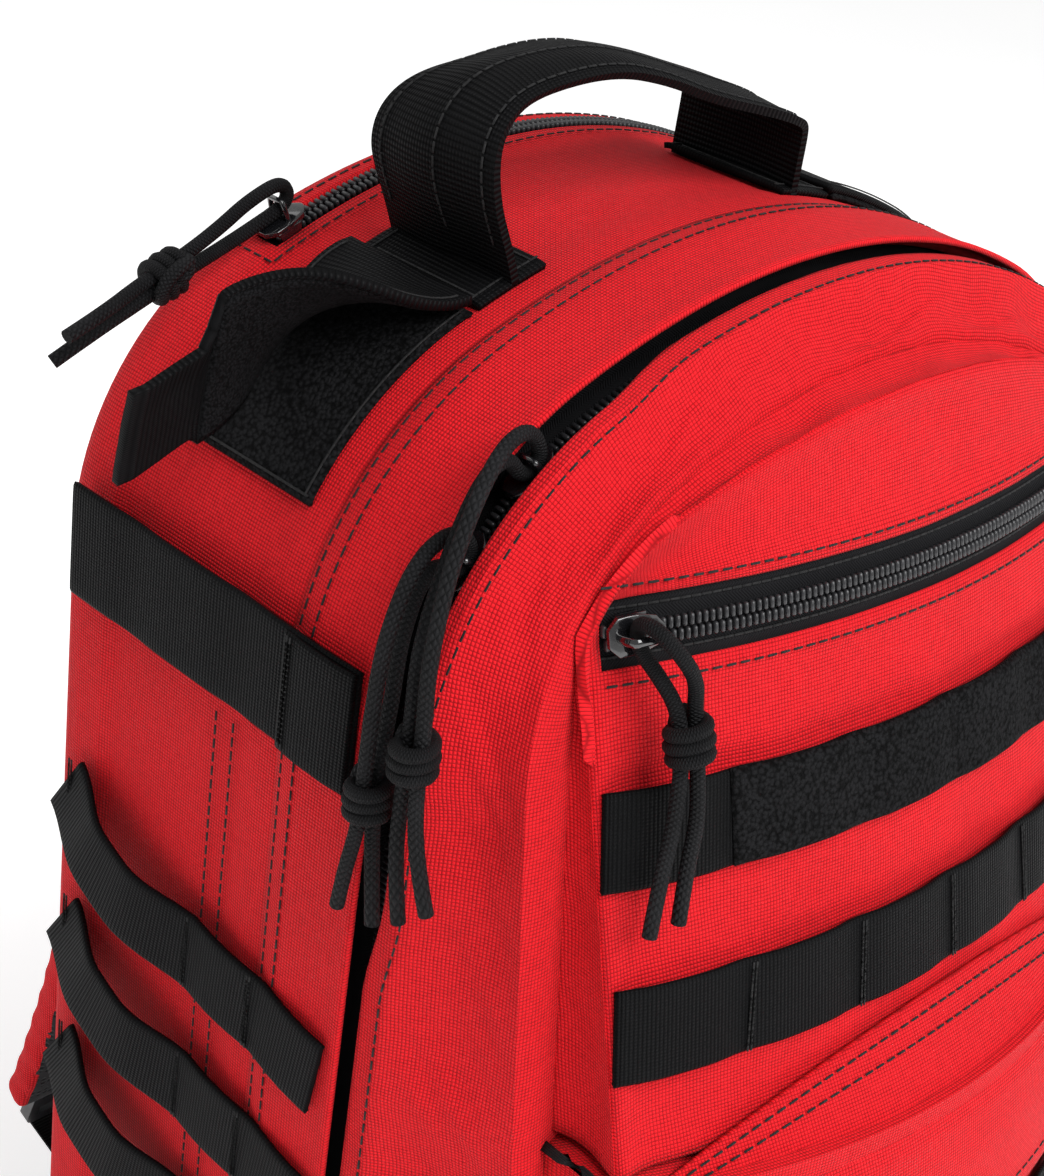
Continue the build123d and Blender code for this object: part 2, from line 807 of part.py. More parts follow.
lower_angle = asin((lower_half - lid_wall) / lower_radius)
flap_inner = chain_wall + cloth_gap
with BuildPart() as lower_pocket_flap:
    add(
        strip_on(
            lower_face,
            lower_radius,
            lower_centre,
            flap_inner,
            flap_inner + lid_wall,
            -lower_angle,
            lower_angle,
            -lower_flap_drop,
            -cloth_gap,
        )
    )
save(lower_pocket_flap, "lower_pocket_flap")

with BuildPart() as lower_molle_rows:
    for row in (1, 2, 3):
        top = -lower_flap_drop - row * webbing_pitch + webbing
        add(
            strip_on(
                lower_face,
                lower_radius,
                lower_centre,
                row_inner,
                row_outer,
                -lower_angle,
                lower_angle,
                top - webbing,
                top,
            )
        )
save(lower_molle_rows, "lower_molle_rows")

# ---------------------------------------------------------------- zip sliders
plate_half = chain_half + slider_run + slider_flange
plate_top = slider_lift + slider_wall
bridge_top = plate_top + bridge_gap + bridge_bar


def slider(seat, flange_sides, bar_along_zip, bridge_shift):
    """A zip slider: x runs along its chain, y across it and z away from it."""
    with BuildPart() as body:
        with BuildSketch(seat.offset(slider_lift)):
            SlotOverall(slider_long, 2 * plate_half)
        extrude(amount=slider_wall)
        for side in flange_sides:
            with BuildSketch(seat.offset(-chain_wall / 2)):
                with Locations((0, side * (plate_half - slider_flange / 2))):
                    Rectangle(slider_long - 2 * plate_half, slider_flange)
            extrude(amount=slider_lift + chain_wall / 2 + slider_wall / 2)
        long, wide = (bridge_half, bridge_bar / 2)
        if not bar_along_zip:
            long, wide = (bridge_bar / 2, bridge_half / 2 + cord / 4)
        with BuildSketch(seat.offset(plate_top - slider_wall / 2)):
            with Locations((0, bridge_shift)):
                Rectangle(2 * long, 2 * wide)
        extrude(amount=bridge_top - plate_top + slider_wall / 2)
        hole = (2 * (long - bridge_bar * 0.8), 4 * wide)
        if not bar_along_zip:
            hole = (4 * long, 2 * (wide - bridge_bar * 0.8))
        with BuildSketch(seat.offset(plate_top)):
            with Locations((0, bridge_shift)):
                Rectangle(*hole)
        extrude(amount=bridge_gap, mode=Mode.SUBTRACT)
    return body


def corner_seat(angle):
    """A main slider's seat on the chain, over the wearer's left top corner."""
    turn = radians(angle)
    out = Vector(-cos(turn), 0, sin(turn))
    centre = Vector(-corner_x, zip_y, corner_z)
    spot = centre + out * (corner_radius - chain_inset)
    return Plane(origin=spot, x_dir=(sin(turn), 0, cos(turn)), z_dir=out)


def crown_seat(angle):
    """The top zip's slider seat."""
    turn = radians(angle)
    out = Vector(sin(turn), 0, cos(turn))
    spot = Vector(0, behind(rear_zip_back), crown_z) + out * (crown_radius + chain_wall - 1)
    return Plane(origin=spot, x_dir=(cos(turn), 0, -sin(turn)), z_dir=out)


def face_seat(angle):
    """The upper pocket's slider seat."""
    turn = radians(angle)
    reach = upper_radius + chain_wall - 1
    local = Vector(reach * sin(turn), upper_centre - reach * cos(turn), slot_middle)
    spot = upper_face.from_local_coords(local)
    axis = Vector(upper_face.z_dir)
    middle = upper_face.from_local_coords(Vector(0, upper_centre, slot_middle))
    out = (spot - middle).normalized()
    return Plane(origin=spot, x_dir=axis.cross(out), z_dir=out)


upper_seat = corner_seat(upper_slider_at)
lower_seat = corner_seat(lower_slider_at)
rear_seat = crown_seat(rear_slider_at)
front_seat = face_seat(front_slider_at)
both = (-1, 1)
for name, seat, sides, lengthwise, shift in (
    ("main_slider_upper", upper_seat, (1,), False, -2.3),
    ("main_slider_lower", lower_seat, (1,), False, -2.3),
    ("rear_slider", rear_seat, both, False, 0),
    ("front_slider", front_seat, both, True, 0),
):
    save(slider(seat, sides, lengthwise, shift), name)

# ---------------------------------------------------------------- cord pulls
# Each pull is one cord: up from a cut end, through the knot, round the slider's bar and back.
pull_routes = {
    "main_pull_upper": [
        (-148.0, -84.0, 333.0),
        (-149.5, -81.5, 350.0),
        (-149.0, -81.0, 372.0),
        (-149.2, -81.2, 388.0),
        (-146.5, -78.0, 404.0),
        (-138.0, -74.5, 421.5),
        (-126.5, -70.5, 437.0),
        (-116.6, -68.8, 441.7),
        (-110.2, -68.8, 433.6),
        (-104.1, -68.8, 438.4),
        (-110.4, -69.0, 447.4),
        (-124.5, -73.0, 445.5),
        (-141.0, -79.5, 427.0),
        (-149.0, -84.0, 405.0),
        (-149.4, -85.6, 388.0),
        (-149.6, -85.8, 372.0),
        (-150.5, -89.0, 356.0),
        (-148.5, -93.0, 341.0),
    ],
    "main_pull_lower": [
        (-149.0, -76.5, 328.0),
        (-148.2, -73.5, 342.0),
        (-148.9, -72.3, 356.0),
        (-148.9, -72.3, 371.0),
        (-146.0, -71.0, 386.0),
        (-144.0, -69.6, 402.0),
        (-139.5, -68.8, 414.5),
        (-134.5, -68.8, 418.6),
        (-127.4, -68.8, 413.4),
        (-123.0, -68.8, 419.9),
        (-131.0, -68.9, 426.4),
        (-142.5, -69.6, 421.5),
        (-150.2, -70.8, 405.0),
        (-152.5, -71.8, 388.0),
        (-153.1, -72.3, 371.0),
        (-153.1, -72.3, 356.0),
        (-154.8, -71.0, 343.0),
        (-153.6, -68.6, 331.0),
    ],
    "rear_pull": [
        (-157.0, 50.0, 426.0),
        (-146.5, 47.0, 433.5),
        (-133.0, 46.5, 439.6),
        (-118.4, 46.5, 446.0),
        (-110.0, 46.8, 449.0),
        (-101.0, 46.6, 452.8),
        (-87.1, 46.5, 459.0),
        (-89.9, 46.5, 465.6),
        (-101.5, 46.0, 461.4),
        (-110.5, 45.6, 455.8),
        (-120.0, 46.5, 449.9),
        (-134.6, 46.5, 443.5),
        (-146.0, 43.5, 440.0),
        (-158.5, 42.0, 436.0),
    ],
    "front_pull": [
        (-109.4, -128.4, 339.6),
        (-107.0, -126.6, 352.6),
        (-104.0, -125.2, 366.7),
        (-102.1, -122.9, 381.7),
        (-102.1, -119.0, 395.1),
        (-104.4, -112.2, 402.4),
        (-106.5, -107.8, 407.0),
        (-106.5, -106.0, 413.1),
        (-108.1, -112.9, 415.3),
        (-104.5, -118.4, 410.0),
        (-99.6, -120.4, 403.0),
        (-98.1, -120.2, 395.1),
        (-98.1, -124.1, 381.7),
        (-98.6, -127.7, 368.5),
        (-101.0, -129.0, 356.0),
        (-102.6, -131.0, 342.3),
    ],
}
pull_knots = {
    "main_pull_upper": ((-149.3, -83.4, 387.0), (0, 0, -1)),
    "main_pull_lower": ((-151.0, -72.3, 370.5), (0, 0, -1)),
    "rear_pull": ((-119.8, 46.5, 447.7), (-0.918, 0, -0.397)),
    "front_pull": ((-100.1, -119.9, 394.5), (0, -0.28, -0.96)),
}


def tangent_radii(route):
    """The largest arc that each corner's two runs allow."""
    radii = []
    for before, corner, after in zip(route, route[1:], route[2:]):
        run_in = Vector(*corner) - Vector(*before)
        run_out = Vector(*after) - Vector(*corner)
        turn = radians(run_in.get_angle(run_out))
        radii.append(0.45 * min(run_in.length, run_out.length) / tan(turn / 2))
    return radii


def cord_tube(route, diameter):
    """A round cord along straight runs joined by tangent arcs."""
    radii = tangent_radii(route)
    with BuildPart() as tube:
        with BuildLine():
            path = FilletPolyline(*route, radius=radii)
        with BuildSketch(Plane(origin=path @ 0, z_dir=path % 0)):
            Circle(diameter / 2)
        sweep(path=path)
    section = pi * diameter**2 / 4
    print("radii", [round(radius, 1) for radius in radii], "length", round(path.length, 1))
    print("volume share", round(tube.part.volume / (section * path.length), 4))
    return tube.part


for name, route in pull_routes.items():
    spot, down = pull_knots[name]
    with BuildPart() as pull:
        add(cord_tube(route, cord))
        with BuildSketch(Plane(origin=spot, z_dir=down)):
            Circle(knot_radius)
        extrude(amount=knot_height)
    save(pull, name)

# ---------------------------------------------------------------- shoulder straps
strap_route = [(143.0, 412.0), (147.0, 335.0), (161.0, 245.0), (183.0, 160.0), (208.0, 88.0)]
strap_path = [(behind(y), z) for y, z in strap_route]
strap_middle = strap_inner + strap_width / 2
strap_end = Vector(0, strap_path[-1][0], strap_path[-1][1])
strap_run = (strap_end - Vector(0, strap_path[-2][0], strap_path[-2][1])).normalized()
lock_start = strap_end + strap_run * cloth_gap
lock_end = lock_start + strap_run * lock_long
tab_middle = Vector(0, back_y + tab_wall, (tab_low + tab_high) / 2)

for side, name in ((-1, "left"), (1, "right")):
    with BuildPart() as pad:
        with BuildSketch(Plane.YZ.offset(side * strap_middle)):
            with BuildLine():
                FilletPolyline(*strap_path, radius=tangent_radii([(0, y, z) for y, z in strap_path]))
            trace(line_width=strap_pad)
        extrude(amount=strap_width / 2, both=True)
    save(pad, f"{name}_shoulder_pad")

    lock_plane = Plane(
        origin=lock_start + Vector(side * strap_middle, 0, 0),
        x_dir=(1, 0, 0),
        z_dir=Vector(1, 0, 0).cross(strap_run),
    )
    with BuildPart() as lock:
        with BuildSketch(lock_plane.offset(-lock_wall / 2)):
            with Locations((0, lock_long / 2)):
                RectangleRounded(lock_width, lock_long, lock_bar)
                with GridLocations(1, lock_long / 2 - lock_bar / 2, 1, 2):
                    Rectangle(strap_webbing + 1, lock_bar + 1, mode=Mode.SUBTRACT)
        extrude(amount=lock_wall)
    save(lock, f"{name}_ladder_lock")

    low = tab_middle + Vector(0, cloth_gap, 0)
    high = lock_end + strap_run * (2 * webbing_wall)
    with BuildPart() as lower_web:
        with BuildSketch(Plane.YZ.offset(side * strap_middle)):
            with BuildLine():
                Line((low.Y, low.Z), (high.Y, high.Z))
            trace(line_width=webbing_wall)
        extrude(amount=strap_webbing / 2, both=True)
    save(lower_web, f"{name}_lower_webbing")

with BuildPart() as strap_anchors:
    with BuildSketch(facing(back_y)):
        with Locations((0, (anchor_low + anchor_high) / 2)):
            with GridLocations(2 * strap_middle, 1, 2, 1):
                Rectangle(strap_width, anchor_high - anchor_low)
    extrude(amount=-anchor_wall)
save(strap_anchors, "strap_anchors")

with BuildPart() as lower_strap_tabs:
    with BuildSketch(facing(back_y)):
        with Locations((0, (tab_low + tab_high) / 2)):
            with GridLocations(2 * strap_middle, 1, 2, 1):
                Rectangle(strap_webbing, tab_high - tab_low)
    extrude(amount=-tab_wall)
save(lower_strap_tabs, "lower_strap_tabs")
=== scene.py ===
"""Trauma backpack: cloth, webbing, zips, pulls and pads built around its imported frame."""

import math

import bmesh
import bpy
import numpy as np
from bpy.props import FloatProperty, FloatVectorProperty, PointerProperty
from mathutils import Matrix, Vector, noise


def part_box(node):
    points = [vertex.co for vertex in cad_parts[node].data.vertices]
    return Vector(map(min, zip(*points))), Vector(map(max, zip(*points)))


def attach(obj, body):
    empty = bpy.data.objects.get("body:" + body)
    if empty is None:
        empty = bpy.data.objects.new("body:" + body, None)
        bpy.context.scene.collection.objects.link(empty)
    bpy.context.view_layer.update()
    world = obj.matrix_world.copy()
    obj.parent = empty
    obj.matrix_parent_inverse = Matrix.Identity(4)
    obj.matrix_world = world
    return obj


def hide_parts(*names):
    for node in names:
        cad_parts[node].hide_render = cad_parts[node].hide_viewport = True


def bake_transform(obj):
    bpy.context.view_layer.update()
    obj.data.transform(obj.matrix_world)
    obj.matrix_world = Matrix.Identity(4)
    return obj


bl_info = {
    "name": "Trauma Backpack",
    "version": (1, 0, 0),
    "blender": (4, 5, 0),
    "location": "View3D > Sidebar > Backpack",
    "description": "Builds a domed clamshell backpack with its webbing, zips and pulls",
    "category": "Add Mesh",
}

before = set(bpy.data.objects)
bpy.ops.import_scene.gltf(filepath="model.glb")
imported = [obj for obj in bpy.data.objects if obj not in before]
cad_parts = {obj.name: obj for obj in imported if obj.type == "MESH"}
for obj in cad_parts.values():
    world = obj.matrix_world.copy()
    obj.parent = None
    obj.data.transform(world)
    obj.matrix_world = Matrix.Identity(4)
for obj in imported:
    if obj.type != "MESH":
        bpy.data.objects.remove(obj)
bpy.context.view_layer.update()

MM = 0.001
ZIP_Y = -66.5 * MM
BACK_Y = 66.5 * MM
HALF_WIDTH = 144 * MM
CROWN_HEIGHT = 470 * MM
CROWN_R = 224 * MM
CORNER_R = 89 * MM
CORNER_X = HALF_WIDTH - CORNER_R
CROWN_Z = CROWN_HEIGHT - CROWN_R
LEAN = math.asin(CORNER_X / (CROWN_R - CORNER_R))
CORNER_Z = CROWN_Z + (CROWN_R - CORNER_R) * math.cos(LEAN)
CORNER_ARC = CORNER_R * (math.pi / 2 - LEAN)
CROWN_ARC = CROWN_R * LEAN
DOME_LENGTH = 2 * (CORNER_Z + CORNER_ARC + CROWN_ARC)
RIDGE_INSET = 15.5 * MM
UPPER_HALF = 114.7 * MM
UPPER_BULGE = 19.5 * MM
UPPER_LIP = 415 * MM
LOWER_LIP = 398.7 * MM
UPPER_FLOOR = 272 * MM
UPPER_INSET = 18.5 * MM
SLOT_HALF = 110.5 * MM
LOWER_HALF = 118 * MM
LOWER_BULGE = 30 * MM
LOWER_TOP = 270 * MM
LOWER_FLOOR = 26 * MM
WEBBING = 25.4 * MM
STITCH_PITCH = 4.2 * MM
FLAP_STITCH = 2.8 * MM
PUFF_FRAMES = 20
TACK_PITCH = 1.5 * MM
TAPE_WALL = 0.9 * MM
TACK_GAP = 38 * MM
BAND_WALL = 1.5 * MM
SIDE_BAND_Z = 373.5 * MM
SIDE_BAND_WIDE = 33 * MM
SIDE_ROW_TOPS = (280 * MM, 233 * MM, 186 * MM)
FRONT_ROW_TOPS = (371.5 * MM, 322.5 * MM)
LOWER_ROW_TOPS = (189.6 * MM, 138.8 * MM, 88.0 * MM)
HANDLE_WIDE = 45 * MM
HANDLE_Y = -1.5 * MM
FLAP_LONG = 88 * MM
HOOKS_LONG = 67 * MM
SIDE_STEP = 5 * MM
REAR_ROUND = 14 * MM
MIDDLE = DOME_LENGTH / 2
TOP_SLOT = CROWN_R * math.asin(94 / 224)
UP = Vector((0, 0, 1))


# ------------------------------------------------------------------ places on the bag
def dome(along, inset=0.0):
    """A place on the domed outline as (x, z), and the way out there; along starts at the left foot."""
    turned = along > DOME_LENGTH / 2
    if turned:
        along = DOME_LENGTH - along
    if along < CORNER_Z:
        spot, out = (-HALF_WIDTH, along), (-1.0, 0.0)
    elif along < CORNER_Z + CORNER_ARC:
        turn = (along - CORNER_Z) / CORNER_R
        out = (-math.cos(turn), math.sin(turn))
        spot = (-CORNER_X + CORNER_R * out[0], CORNER_Z + CORNER_R * out[1])
    else:
        turn = -LEAN + (along - CORNER_Z - CORNER_ARC) / CROWN_R
        out = (math.sin(turn), math.cos(turn))
        spot = (CROWN_R * out[0], CROWN_Z + CROWN_R * out[1])
    side = -1 if turned else 1
    return side * (spot[0] - out[0] * inset), spot[1] - out[1] * inset, side * out[0], out[1]


def on_dome(along, y, inset=0.0):
    x, z, _, _ = dome(along, inset)
    return Vector((x, y, z))


def dome_out(along):
    _, _, x, z = dome(along)
    return Vector((x, 0, z))


def dome_outs(spans):
    return [dome_out(s) for s in spans]


def dome_line(spans, y, inset):
    return [on_dome(s, y, inset) for s in spans]


def dome_at_x(x):
    """How far along the outline x is, on the corner or the crown."""
    if abs(x) < CROWN_R * math.sin(LEAN):
        return MIDDLE + CROWN_R * math.asin(x / CROWN_R)
    turn = math.acos(min(1.0, (abs(x) - CORNER_X) / CORNER_R))
    along = CORNER_Z + CORNER_R * turn
    return along if x < 0 else DOME_LENGTH - along


def dome_top(x, inset):
    """Height of the outline, drawn in by inset, at x."""
    x = abs(x)
    arc = CORNER_R - inset
    if x < CORNER_X + arc * math.sin(LEAN):
        return CROWN_Z + math.sqrt((CROWN_R - inset) ** 2 - x * x)
    return CORNER_Z + math.sqrt(max(arc * arc - (x - CORNER_X) ** 2, 0.0))


def ridge_y(z):
    return ZIP_Y - 20 * MM - 0.14 * (CROWN_HEIGHT - z)


def upper_y(x, z):
    """Front of the upper pocket's face."""
    rise = UPPER_BULGE * max(0.0, 1 - (x / UPPER_HALF) ** 2)
    return ZIP_Y - 29.4 * MM - 0.29 * (UPPER_LIP - z) - rise


def lower_y(x, z):
    """Front of the lower pocket's face."""
    rise = LOWER_BULGE * max(0.0, 1 - (x / LOWER_HALF) ** 2)
    return ZIP_Y - 73 * MM - 0.08 * (LOWER_TOP - z) - rise


def upper_out(x):
    slope = 2 * UPPER_BULGE * x / UPPER_HALF**2
    return Vector((slope, -1, 0.29)).normalized()


def lower_out(x):
    slope = 2 * LOWER_BULGE * x / LOWER_HALF**2
    return Vector((slope, -1, 0.08)).normalized()


def face_line(face, xs, z, lift):
    """A level line over a pocket's face, lift behind its front."""
    return [Vector((x, face(x, z) + lift, z)) for x in xs]


def stops(step, *places):
    """Values through the given places, no further apart than step."""
    found = [places[0]]
    for low, high in zip(places, places[1:]):
        count = max(1, math.ceil(abs(high - low) / step - 1e-6))
        found += [low + (high - low) * k / count for k in range(1, count + 1)]
    return found


def smooth(low, high, value):
    share = min(1.0, max(0.0, (value - low) / (high - low)))
    return share * share * (3 - 2 * share)


def dip(a, b, amount, reach_a, reach_b, seed):
    """A soft hollow between 0 and amount, from smooth noise."""
    value = noise.noise(Vector((a / reach_a, b / reach_b, seed)))
    return amount * (0.5 + 0.5 * value)


def nap(a, b, reach, seed):
    """Rough pile height between -1 and 1."""
    return noise.noise(Vector((a / reach, b / reach, seed)))


# ------------------------------------------------------------------ materials
class Finish:
    """One procedural material and the few node shapes that they share."""

    def __init__(self, name, rough, **sockets):
        self.material = bpy.data.materials.new(name)
        self.material.use_nodes = True
        self.tree = self.material.node_tree
        self.shader = self.tree.nodes["Principled BSDF"]
        self.shader.inputs["Roughness"].default_value = rough
        for socket, value in sockets.items():
            self.shader.inputs[socket.replace("_", " ")].default_value = value
        self.coords = self.node("ShaderNodeTexCoord").outputs["UV"]
        self.solid = self.tree.nodes[-1].outputs["Object"]

    def node(self, kind, **settings):
        made = self.tree.nodes.new(kind)
        for name, value in settings.items():
            setattr(made, name, value)
        return made

    def feed(self, socket, value):
        if isinstance(value, bpy.types.NodeSocket):
            self.tree.links.new(value, socket)
        elif value is not None:
            socket.default_value = value

    def sum(self, operation, first, second=None, third=None):
        made = self.node("ShaderNodeMath", operation=operation)
        for socket, value in zip(made.inputs, (first, second, third)):
            self.feed(socket, value)
        return made.outputs[0]

    def axes(self):
        made = self.node("ShaderNodeSeparateXYZ")
        self.feed(made.inputs[0], self.coords)
        return made.outputs[0], made.outputs[1]

    def cloud(self, scale, detail=3.0, spread=0.55):
        made = self.node("ShaderNodeTexNoise")
        self.feed(made.inputs["Vector"], self.solid)
        made.inputs["Scale"].default_value = scale
        made.inputs["Detail"].default_value = detail
        made.inputs["Roughness"].default_value = spread
        return made.outputs["Fac"]

    def span(self, value, low, high, to_low, to_high):
        made = self.node("ShaderNodeMapRange")
        for socket, number in zip(made.inputs, (value, low, high, to_low, to_high)):
            self.feed(socket, number)
        return made.outputs[0]

    def blend(self, share, first, second):
        made = self.node("ShaderNodeMix", data_type="RGBA")
        self.feed(made.inputs[0], share)
        for socket, value in ((made.inputs[6], first), (made.inputs[7], second)):
            if isinstance(value, (tuple, list)):
                value = (*value[:3], 1.0)
            self.feed(socket, value)
        return made.outputs[2]

    def wave(self, value, pitch):
        """Rounded ridges of that pitch, from 0 to 1."""
        turned = self.sum("MULTIPLY", value, math.pi / pitch)
        return self.sum("ABSOLUTE", self.sum("SINE", turned))

    def bump(self, height, distance, strength=1.0):
        made = self.node("ShaderNodeBump")
        made.inputs["Strength"].default_value = strength
        made.inputs["Distance"].default_value = distance
        self.feed(made.inputs["Height"], height)
        self.feed(self.shader.inputs["Normal"], made.outputs[0])

    def finish(self, colour, rough=None):
        self.feed(self.shader.inputs["Base Color"], colour)
        if rough is not None:
            self.feed(self.shader.inputs["Roughness"], rough)
        return self.material


def dimmed(colour, share, more=0.0):
    """The colour times a share, with a little grey added."""
    return tuple(min(1.0, c * share + more) for c in colour)


def woven_cloth(name, colour, pitch):
    """Plain weave: rounded crossings with painted shade in the gaps between them, faded and soiled a little
    in clouds.
    """
    cloth = Finish(name, 0.8, Sheen_Weight=0.02, Sheen_Roughness=0.5, Specular_IOR_Level=0.14)
    across, up = cloth.axes()
    warp, weft = cloth.wave(across, pitch), cloth.wave(up, pitch)
    knots = cloth.sum("MULTIPLY", warp, weft)
    over = cloth.sum("SINE", cloth.sum("MULTIPLY", across, math.pi / pitch))
    under = cloth.sum("SINE", cloth.sum("MULTIPLY", up, math.pi / pitch))
    parity = cloth.sum("MULTIPLY", over, under)
    lift = cloth.sum("MULTIPLY_ADD", parity, 0.18, knots)
    # painted shade: the gaps between the crossings are darkened towards 3% of the cloth colour
    painted_gap_shade = cloth.span(lift, 0.0, 0.5, 0.3, 1.0)
    wear = cloth.span(cloth.cloud(14.0), 0.3, 0.75, 0.9, 1.06)
    tone = cloth.sum("MULTIPLY", painted_gap_shade, wear)
    tint = cloth.blend(tone, dimmed(colour, 0.03), colour)
    slub = cloth.span(cloth.cloud(420.0, 2.0), 0.35, 0.7, 0.0, 0.2)
    height = cloth.sum("MULTIPLY_ADD", cloth.cloud(220.0, 2.0), 0.5, lift)
    cloth.bump(height, 0.35 * MM, 0.8)
    rough = cloth.span(knots, 0.0, 1.0, 0.9, 0.6)
    return cloth.finish(cloth.blend(slub, tint, dimmed(colour, 1.2, 0.004)), rough)


def ribbed_webbing(name, colour, rib, warp_pitch, tall=0.3 * MM):
    """Ribs across the band, crossed by fine warp, with painted shade in the valleys between the ribs, greyed
    where it rubs.
    """
    band = Finish(name, 0.75, Specular_IOR_Level=0.08)
    along, across = band.axes()
    ribs = band.wave(along, rib)
    warp = band.wave(across, warp_pitch)
    lift = band.sum("MULTIPLY_ADD", warp, 0.45, ribs)
    # painted shade: colour follows the rib relief and darkens in the valleys
    tone = band.span(lift, 0.1, 1.4, 0.35, 1.25)
    wear = band.span(band.cloud(60.0), 0.45, 0.8, 0.0, 0.35)
    painted_valley_shade = band.blend(tone, dimmed(colour, 0.1), colour)
    band.bump(band.sum("MULTIPLY_ADD", band.cloud(900.0, 2.0), 0.3, lift), tall, 0.9)
    dusty = band.blend(wear, painted_valley_shade, dimmed(colour, 2.0, 0.001))
    return band.finish(dusty, band.span(ribs, 0.0, 1.0, 0.85, 0.5))


def herringbone(name, colour, rib, fold):
    """Slanted ribs that turn back at every fold, as on zip tape, with painted shade in the valleys between
    them.
    """
    tape = Finish(name, 0.8, Specular_IOR_Level=0.08)
    along, across = tape.axes()
    zigzag = tape.sum("PINGPONG", across, fold)
    ribs = tape.wave(tape.sum("ADD", along, zigzag), rib)
    # painted shade: colour follows the rib relief and darkens in the valleys
    tone = tape.span(ribs, 0.0, 1.0, 0.3, 1.2)
    wear = tape.span(tape.cloud(50.0), 0.4, 0.8, 0.0, 0.3)
    painted_valley_shade = tape.blend(tone, dimmed(colour, 0.1), colour)
    tape.bump(ribs, 0.2 * MM, 0.8)
    return tape.finish(tape.blend(wear, painted_valley_shade, dimmed(colour, 1.8)))


def pile(name, colour, scale, deep):
    """Loop pile or hook tape: a dense fuzzy ground, with painted shade between its loops so that their tops
    read as grey highlights.
    """
    fuzz = Finish(name, 0.95, Specular_IOR_Level=0.08)
    fine = fuzz.cloud(scale, 4.0, 0.75)
    cells = fuzz.node("ShaderNodeTexVoronoi")
    fuzz.feed(cells.inputs["Vector"], fuzz.solid)
    cells.inputs["Scale"].default_value = scale * 0.9
    height = fuzz.sum("MULTIPLY_ADD", cells.outputs["Distance"], -0.8, fine)
    # painted shade: colour follows the pile height and darkens towards black between the loops
    tone = fuzz.span(height, -0.1, 0.5, 0.15, 1.6)
    broad = fuzz.span(fuzz.cloud(70.0), 0.3, 0.75, 0.7, 1.3)
    painted_loop_shade = fuzz.blend(fuzz.sum("MULTIPLY", tone, broad), (0.0, 0.0, 0.0), colour)
    fuzz.bump(height, deep, 1.0)
    return fuzz.finish(painted_loop_shade, fuzz.span(fine, 0.2, 0.8, 0.8, 1.0))


def braided(name, colour, turns, picks):
    """A braided cord: two sets of strands that cross round it, with painted shade between the strands; its UV
    runs once along and once round.
    """
    braid = Finish(name, 0.65, Specular_IOR_Level=0.12)
    along, around = braid.axes()
    run = braid.sum("MULTIPLY", along, math.pi * picks)
    lap = braid.sum("MULTIPLY", around, math.pi * turns)
    left = braid.sum("ABSOLUTE", braid.sum("SINE", braid.sum("ADD", run, lap)))
    right = braid.sum("ABSOLUTE", braid.sum("SINE", braid.sum("SUBTRACT", run, lap)))
    height = braid.sum("MULTIPLY", left, right)
    # painted shade: colour follows the strand relief and darkens between the strands
    tone = braid.span(height, 0.0, 0.8, 0.2, 1.5)
    braid.bump(height, 0.5 * MM, 1.0)
    wear = braid.span(braid.cloud(90.0), 0.45, 0.8, 0.0, 0.35)
    painted_valley_shade = braid.blend(tone, dimmed(colour, 0.1), colour)
    return braid.finish(braid.blend(wear, painted_valley_shade, dimmed(colour, 2.2)))


def moulded(name, colour, rough, grain, metal=0.0, coat=0.0):
    """Moulded plastic, paint or metal with a fine grain, scuffs and a lighter rubbed tone in clouds."""
    skin = Finish(name, rough, Metallic=metal, Coat_Weight=coat)
    scuffs = skin.cloud(grain * 0.12, 5.0, 0.7)
    rub = skin.span(scuffs, 0.5, 0.8, 0.0, 0.4)
    skin.bump(skin.cloud(grain), 0.05 * MM, 0.5)
    worn = skin.blend(rub, colour, dimmed(colour, 1.8, 0.01))
    return skin.finish(worn, skin.span(scuffs, 0.3, 0.8, rough * 0.75, rough * 1.4))


def air_mesh(name, colour, cell):
    """Spacer mesh: small hexagonal holes through a knitted ground, the holes painted dark as shade."""
    mesh = Finish(name, 0.85, Sheen_Weight=0.05, Specular_IOR_Level=0.25)
    cells = mesh.node("ShaderNodeTexVoronoi", feature="F1")
    mesh.feed(cells.inputs["Vector"], mesh.solid)
    cells.inputs["Scale"].default_value = 1 / cell
    cells.inputs["Randomness"].default_value = 0.25
    holes = mesh.span(cells.outputs["Distance"], 0.18, 0.42, 0.0, 1.0)
    # painted shade: the holes go to a tenth of the colour, as the shade inside them
    painted_hole_shade = mesh.span(holes, 0, 1, 0.1, 1.2)
    tone = mesh.sum("MULTIPLY", painted_hole_shade, mesh.span(mesh.cloud(30.0), 0.3, 0.8, 0.8, 1.2))
    mesh.bump(holes, 0.9 * MM, 0.9)
    return mesh.finish(mesh.blend(tone, dimmed(colour, 0.05), colour))


FINISHES = {}


